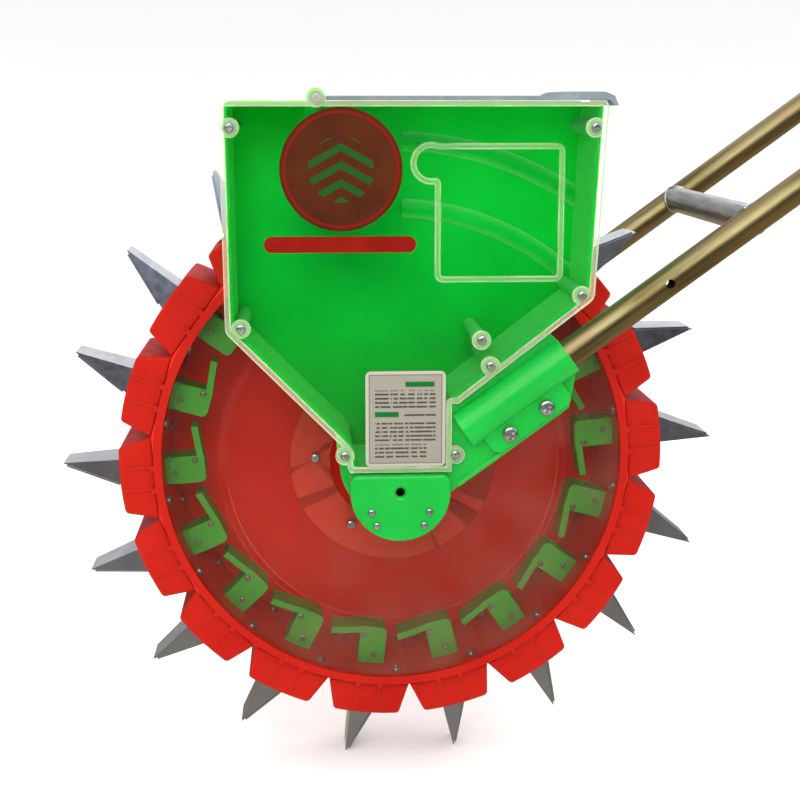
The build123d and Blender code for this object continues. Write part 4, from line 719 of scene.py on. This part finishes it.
def springs(name, node):
    """Tube round a helix: the angle runs through the turns while the height runs from end to end; the
    wire's ring lies in the plane of the radius and the axle, and shrinks to a point at either end."""
    low, high = (corner[1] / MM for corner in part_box(node))
    margin = WIRE_RADIUS + COIL_END_GAP
    run = np.concatenate([[0], np.linspace(0, 1, COIL_STEPS), [1]])[:, None]
    thick = np.pad(np.full((COIL_STEPS, 1), WIRE_RADIUS), ((1, 1), (0, 0)))
    angle = 2 * np.pi * COIL_TURNS * run
    height = low + margin + (high - low - 2 * margin) * run
    wire = np.linspace(0, 2 * np.pi, WIRE_SIDES, endpoint=False)
    reach = COIL_RADIUS + thick * np.cos(wire)
    raised = height + thick * np.sin(wire)
    coil = np.stack([np.cos(angle) * reach, raised, np.sin(angle) * reach], axis=-1)
    grids = hinges[:, None, None] * (1 - AXLE) + coil
    piece = grid_piece(name, grids * MM, zinc)
    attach(piece, "wheel")
    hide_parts(node)


springs("closing_springs", "beak_springs")

# %% [markdown]
# Weld beads
#
# Where the crossbar and the push bar meet the tubes they are welded. A bead could be a plain ring, but
# two equal round tubes that cross meet in a saddle curve: going round one of them, the other's surface is
# one radius away at the sides and level with its axis at top and bottom. A small bead with ripples
# follows that curve.

# %% Weld beads
BEAD_RADIUS = 1.3
RIPPLE, RIPPLES = 0.12, 30
SADDLE_SOFTENING = 2.0
BEAD_STEPS, BEAD_SIDES = 120, 10


def bead(centre, first, second, axis):
    """Rippled tube along the saddle: a point at angle a lies one radius out along first and second by its
    cosine and sine, and back along axis by the radius times the cosine's size, softened near zero."""
    a = np.linspace(0, 2 * np.pi, BEAD_STEPS, endpoint=False)[:, None]
    out = np.cos(a) * first + np.sin(a) * second
    sag = np.sqrt((TUBE_RADIUS * np.cos(a)) ** 2 + SADDLE_SOFTENING)
    path = centre + TUBE_RADIUS * out + sag * axis
    ahead = np.roll(path, -1, 0) - np.roll(path, 1, 0)
    ahead /= np.linalg.norm(ahead, axis=1, keepdims=True)
    out -= (out * ahead).sum(1, keepdims=True) * ahead
    out /= np.linalg.norm(out, axis=1, keepdims=True)
    third = np.cross(ahead, out)
    ring = np.linspace(0, 2 * np.pi, BEAD_SIDES, endpoint=False)[:, None]
    size = BEAD_RADIUS + RIPPLE * np.cos(RIPPLES * a)
    return path[:, None] + size[:, None] * (np.cos(ring) * out[:, None] + np.sin(ring) * third[:, None])


near_tube, far_tube = middle("handle_tube_near") * AXLE, middle("handle_tube_far") * AXLE
cross_line = crossing * (1 - AXLE)
beads = [bead(cross_line + near_tube, ALONG, ACROSS, AXLE)]
beads += [bead(cross_line + far_tube, ALONG, ACROSS, -AXLE)]
beads += [bead(bar_line + tube, AXLE, ACROSS, -ALONG) for tube in (near_tube, far_tube)]
welds = grid_piece("weld_beads", np.array(beads) * MM, grey_zinc, closed_along=True)
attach(welds, "stand")

# %% [markdown]
# Red stripe
#
# Under the badge the cover carries a red sticker, a thin straight strip with round ends. It could be a
# flat sheet, but then its back would be open. As a thin closed plate its outline is a stadium, and each
# row of the grid is the ring of four corners at one place along it.

# %% Stripe
STRIPE_HALF_LENGTH, STRIPE_HALF_WIDTH = 56.0, 6.0
STRIPE_DROP, STRIPE_SHIFT = 54.5, 1.0
STRIPE_STEPS = 90
FILM_THICKNESS, FILM_GAP = 0.25, 0.05


def stripe(name, centre, front):
    """Thin plate with half-round ends: across runs from end to end, and the height at each place is the
    half width, cut down by the circle at the ends. The ring goes down the front and up the back."""
    across = STRIPE_HALF_LENGTH * -np.cos(np.linspace(0, np.pi, STRIPE_STEPS))[:, None]
    inset = np.clip(np.abs(across) - STRIPE_HALF_LENGTH + STRIPE_HALF_WIDTH, 0, STRIPE_HALF_WIDTH)
    up = np.sqrt(STRIPE_HALF_WIDTH**2 - inset**2) * np.array([1, -1, -1, 1])
    depth = front + FILM_THICKNESS * np.array([0, 0, 1, 1])
    grid = np.stack([centre[0] + across + 0 * up, depth + 0 * up, centre[2] + up], axis=-1)
    piece = grid_piece(name, grid[None] * MM, stripe_film, smooth=False)
    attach(piece, "stand")


sheet_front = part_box("round_decal")[1][1] / MM
stripe_centre = badge_middle - (STRIPE_SHIFT, 0, STRIPE_DROP)
stripe("red_stripe_sticker", stripe_centre, sheet_front - FILM_THICKNESS - FILM_GAP)

# %% [markdown]
# Sizes
#
# A look must not change the part's size. It could be judged by eye, but the box of what is shown is
# printed instead, so that it can be read as numbers.

# %% Print the shown box
low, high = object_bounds()
print("shown box", [round(v, 3) for v in low], [round(v, 3) for v in high])

# %% [markdown]
# Floor
#
# The planter stands on a pale studio floor. A flat sheet would end in a horizon, so the floor is a wide
# shallow bowl: level under the planter and curving up far away. Mirrors don't see it, because metal and
# clear sheet should show the room instead.

# %% Floor
FLOOR_GAP = 0.0005
FLOOR_START, FLAT_OUT, FLOOR_OUT = 0.3, 3.2, 7.5
BOWL_RISE = 0.16
FLOOR_RINGS, FLOOR_SIDES = 60, 96
# matt paint: white, with a little light of its own so that the far part isn't grey
floor_paint = matt("pale studio floor", "#FAFAF8", "#FBFBFA", roughness=0.8, lift=0.05)


def floor(height):
    """Turned bowl: level at first, then rising with the square of the distance beyond the flat part."""
    out = np.concatenate([[0], np.linspace(FLOOR_START, FLOOR_OUT, FLOOR_RINGS)])[:, None]
    turn = np.linspace(2 * np.pi, 0, FLOOR_SIDES, endpoint=False)
    rise = height + BOWL_RISE * np.clip(out - FLAT_OUT, 0, None) ** 2
    grid = np.stack([out * np.cos(turn), out * np.sin(turn), rise + 0 * turn], axis=-1)
    piece = grid_piece("floor", grid[None], floor_paint)
    piece.visible_glossy = False


floor(low[2] - FLOOR_GAP)

# %% [markdown]
# Light
#
# The planter is shown in soft daylight. A sun lamp would cast hard shadows into the hopper, so the light
# comes from five large round panels: the main one high on the left, a broad one in front that shines
# through the clear cover, one overhead for the hopper's slopes, a weak one on the right, and one behind
# that picks out the tubes.


# %% Lights
def panel(name, position, target, size, power):
    """Round soft light at a position, turned to face the target."""
    light = bpy.data.lights.new(name, "AREA")
    light.shape = "DISK"
    light.size = size
    light.energy = power
    lamp = bpy.data.objects.new(name, light)
    lamp.location = position
    lamp.rotation_euler = (Vector(target) - Vector(position)).to_track_quat("-Z", "Y").to_euler()
    bpy.context.scene.collection.objects.link(lamp)


panel("main panel", position=(-1.8, -2.2, 2.4), target=(0, 0, 0), size=1.8, power=36)
panel("front panel", position=(-0.3, -2.8, 1.55), target=(0, 0, 0), size=1.8, power=54)
panel("top panel", position=(0.3, -1.0, 2.6), target=(0, -0.1, 0.1), size=1.2, power=20)
panel("side panel", position=(2.4, -1.6, 1.4), target=(0.1, 0, 0), size=1.6, power=14)
panel("back panel", position=(0.8, 2.2, 2.2), target=(0.2, 0, 0.1), size=1.6, power=25)
print("panels:", len(bpy.data.lights))

# %% [markdown]
# Room
#
# Metals and clear sheets look like what they mirror. A picture of a room could surround the planter, but
# a gradient gives them enough to show: warm and bright below, as a pale floor would be, dark about the
# horizon so that bright metal has something dark to show, white overhead, and a glow behind the planter.
# Colours are shown with the plain display curve, which keeps the plastics as rich as they are in
# daylight.

# %% Room
WARM_ENDS = (-0.2, 0.1)
GROUND_ENDS, GROUND_LIGHT = (-0.14, -0.42), (0.02, 0.9)
OVERHEAD_ENDS, OVERHEAD_LIGHT = (0.5, 0.8), 1.2
BEHIND_ENDS, BEHIND_LIGHT = (0.0, 0.5), 0.6
HORIZON_ENDS = (-0.08, 0.05)
world = bpy.data.worlds.new("soft room")
bpy.context.scene.world = world
world.use_nodes = True
sky = world.node_tree
sky.nodes.clear()
toward = add(sky, "SeparateXYZ", {0: add(sky, "TexCoord")["Generated"]})
hue = tone(sky, toward["Z"], WARM_ENDS, srgb("#E4D6B4"), srgb("#FFFFFF"))
ground = {"Value": toward["Z"], "From Min": GROUND_ENDS[0], "From Max": GROUND_ENDS[1]}
ground |= {"To Min": GROUND_LIGHT[0], "To Max": GROUND_LIGHT[1]}
overhead = {"Value": toward["Z"], "From Min": OVERHEAD_ENDS[0], "From Max": OVERHEAD_ENDS[1]}
overhead |= {"To Max": OVERHEAD_LIGHT}
behind = {"Value": toward["Y"], "From Min": BEHIND_ENDS[0], "From Max": BEHIND_ENDS[1]}
behind |= {"To Max": BEHIND_LIGHT}
above = {"Value": toward["Z"], "From Min": HORIZON_ENDS[0], "From Max": HORIZON_ENDS[1]}
ramps = (ground, overhead, behind, above)
ground, overhead, behind, above = (add(sky, "MapRange", each)[0] for each in ramps)
both = add(sky, "Math", {0: ground, 1: overhead}, operation="ADD")[0]
strength = add(sky, "Math", {0: behind, 1: above, 2: both}, operation="MULTIPLY_ADD")[0]
add(sky, "OutputWorld", {"Surface": add(sky, "Background", {"Color": hue, "Strength": strength})[0]})
bpy.context.scene.view_settings.view_transform = "Standard"
print("room:", world.name, len(sky.nodes), "nodes")

# %% [markdown]
# Camera
#
# The planter is seen from its hopper's side. The camera stands a little left of the wheel's middle and
# above it, about 1.25 m away, and looks slightly down. It could be aimed by eye, but its place, turn and
# lens were fitted to where the beak tips, the wheel, the tubes and the crossbar lie in a photograph, so
# that shapes can be compared.

# %% Camera
SENSOR = 36.0
PICTURE_WIDTH = 800
FOCAL_PIXELS = 1494.3
EYE_PLACE = (-0.0661, -1.2533, 0.2900)
YAW, PITCH = 0.060, -0.197
NEAREST, FARTHEST = 0.01, 50
eye = bpy.data.cameras.new("camera")
eye.sensor_width = SENSOR
eye.lens = SENSOR * FOCAL_PIXELS / PICTURE_WIDTH
eye.clip_start, eye.clip_end = NEAREST, FARTHEST
camera = bpy.data.objects.new("camera", eye)
bpy.context.scene.collection.objects.link(camera)
camera.location = EYE_PLACE
camera.rotation_euler = (np.pi / 2 + PITCH, 0, -YAW)
bpy.context.scene.camera = camera
print("camera:", round(eye.lens, 1), "mm lens")
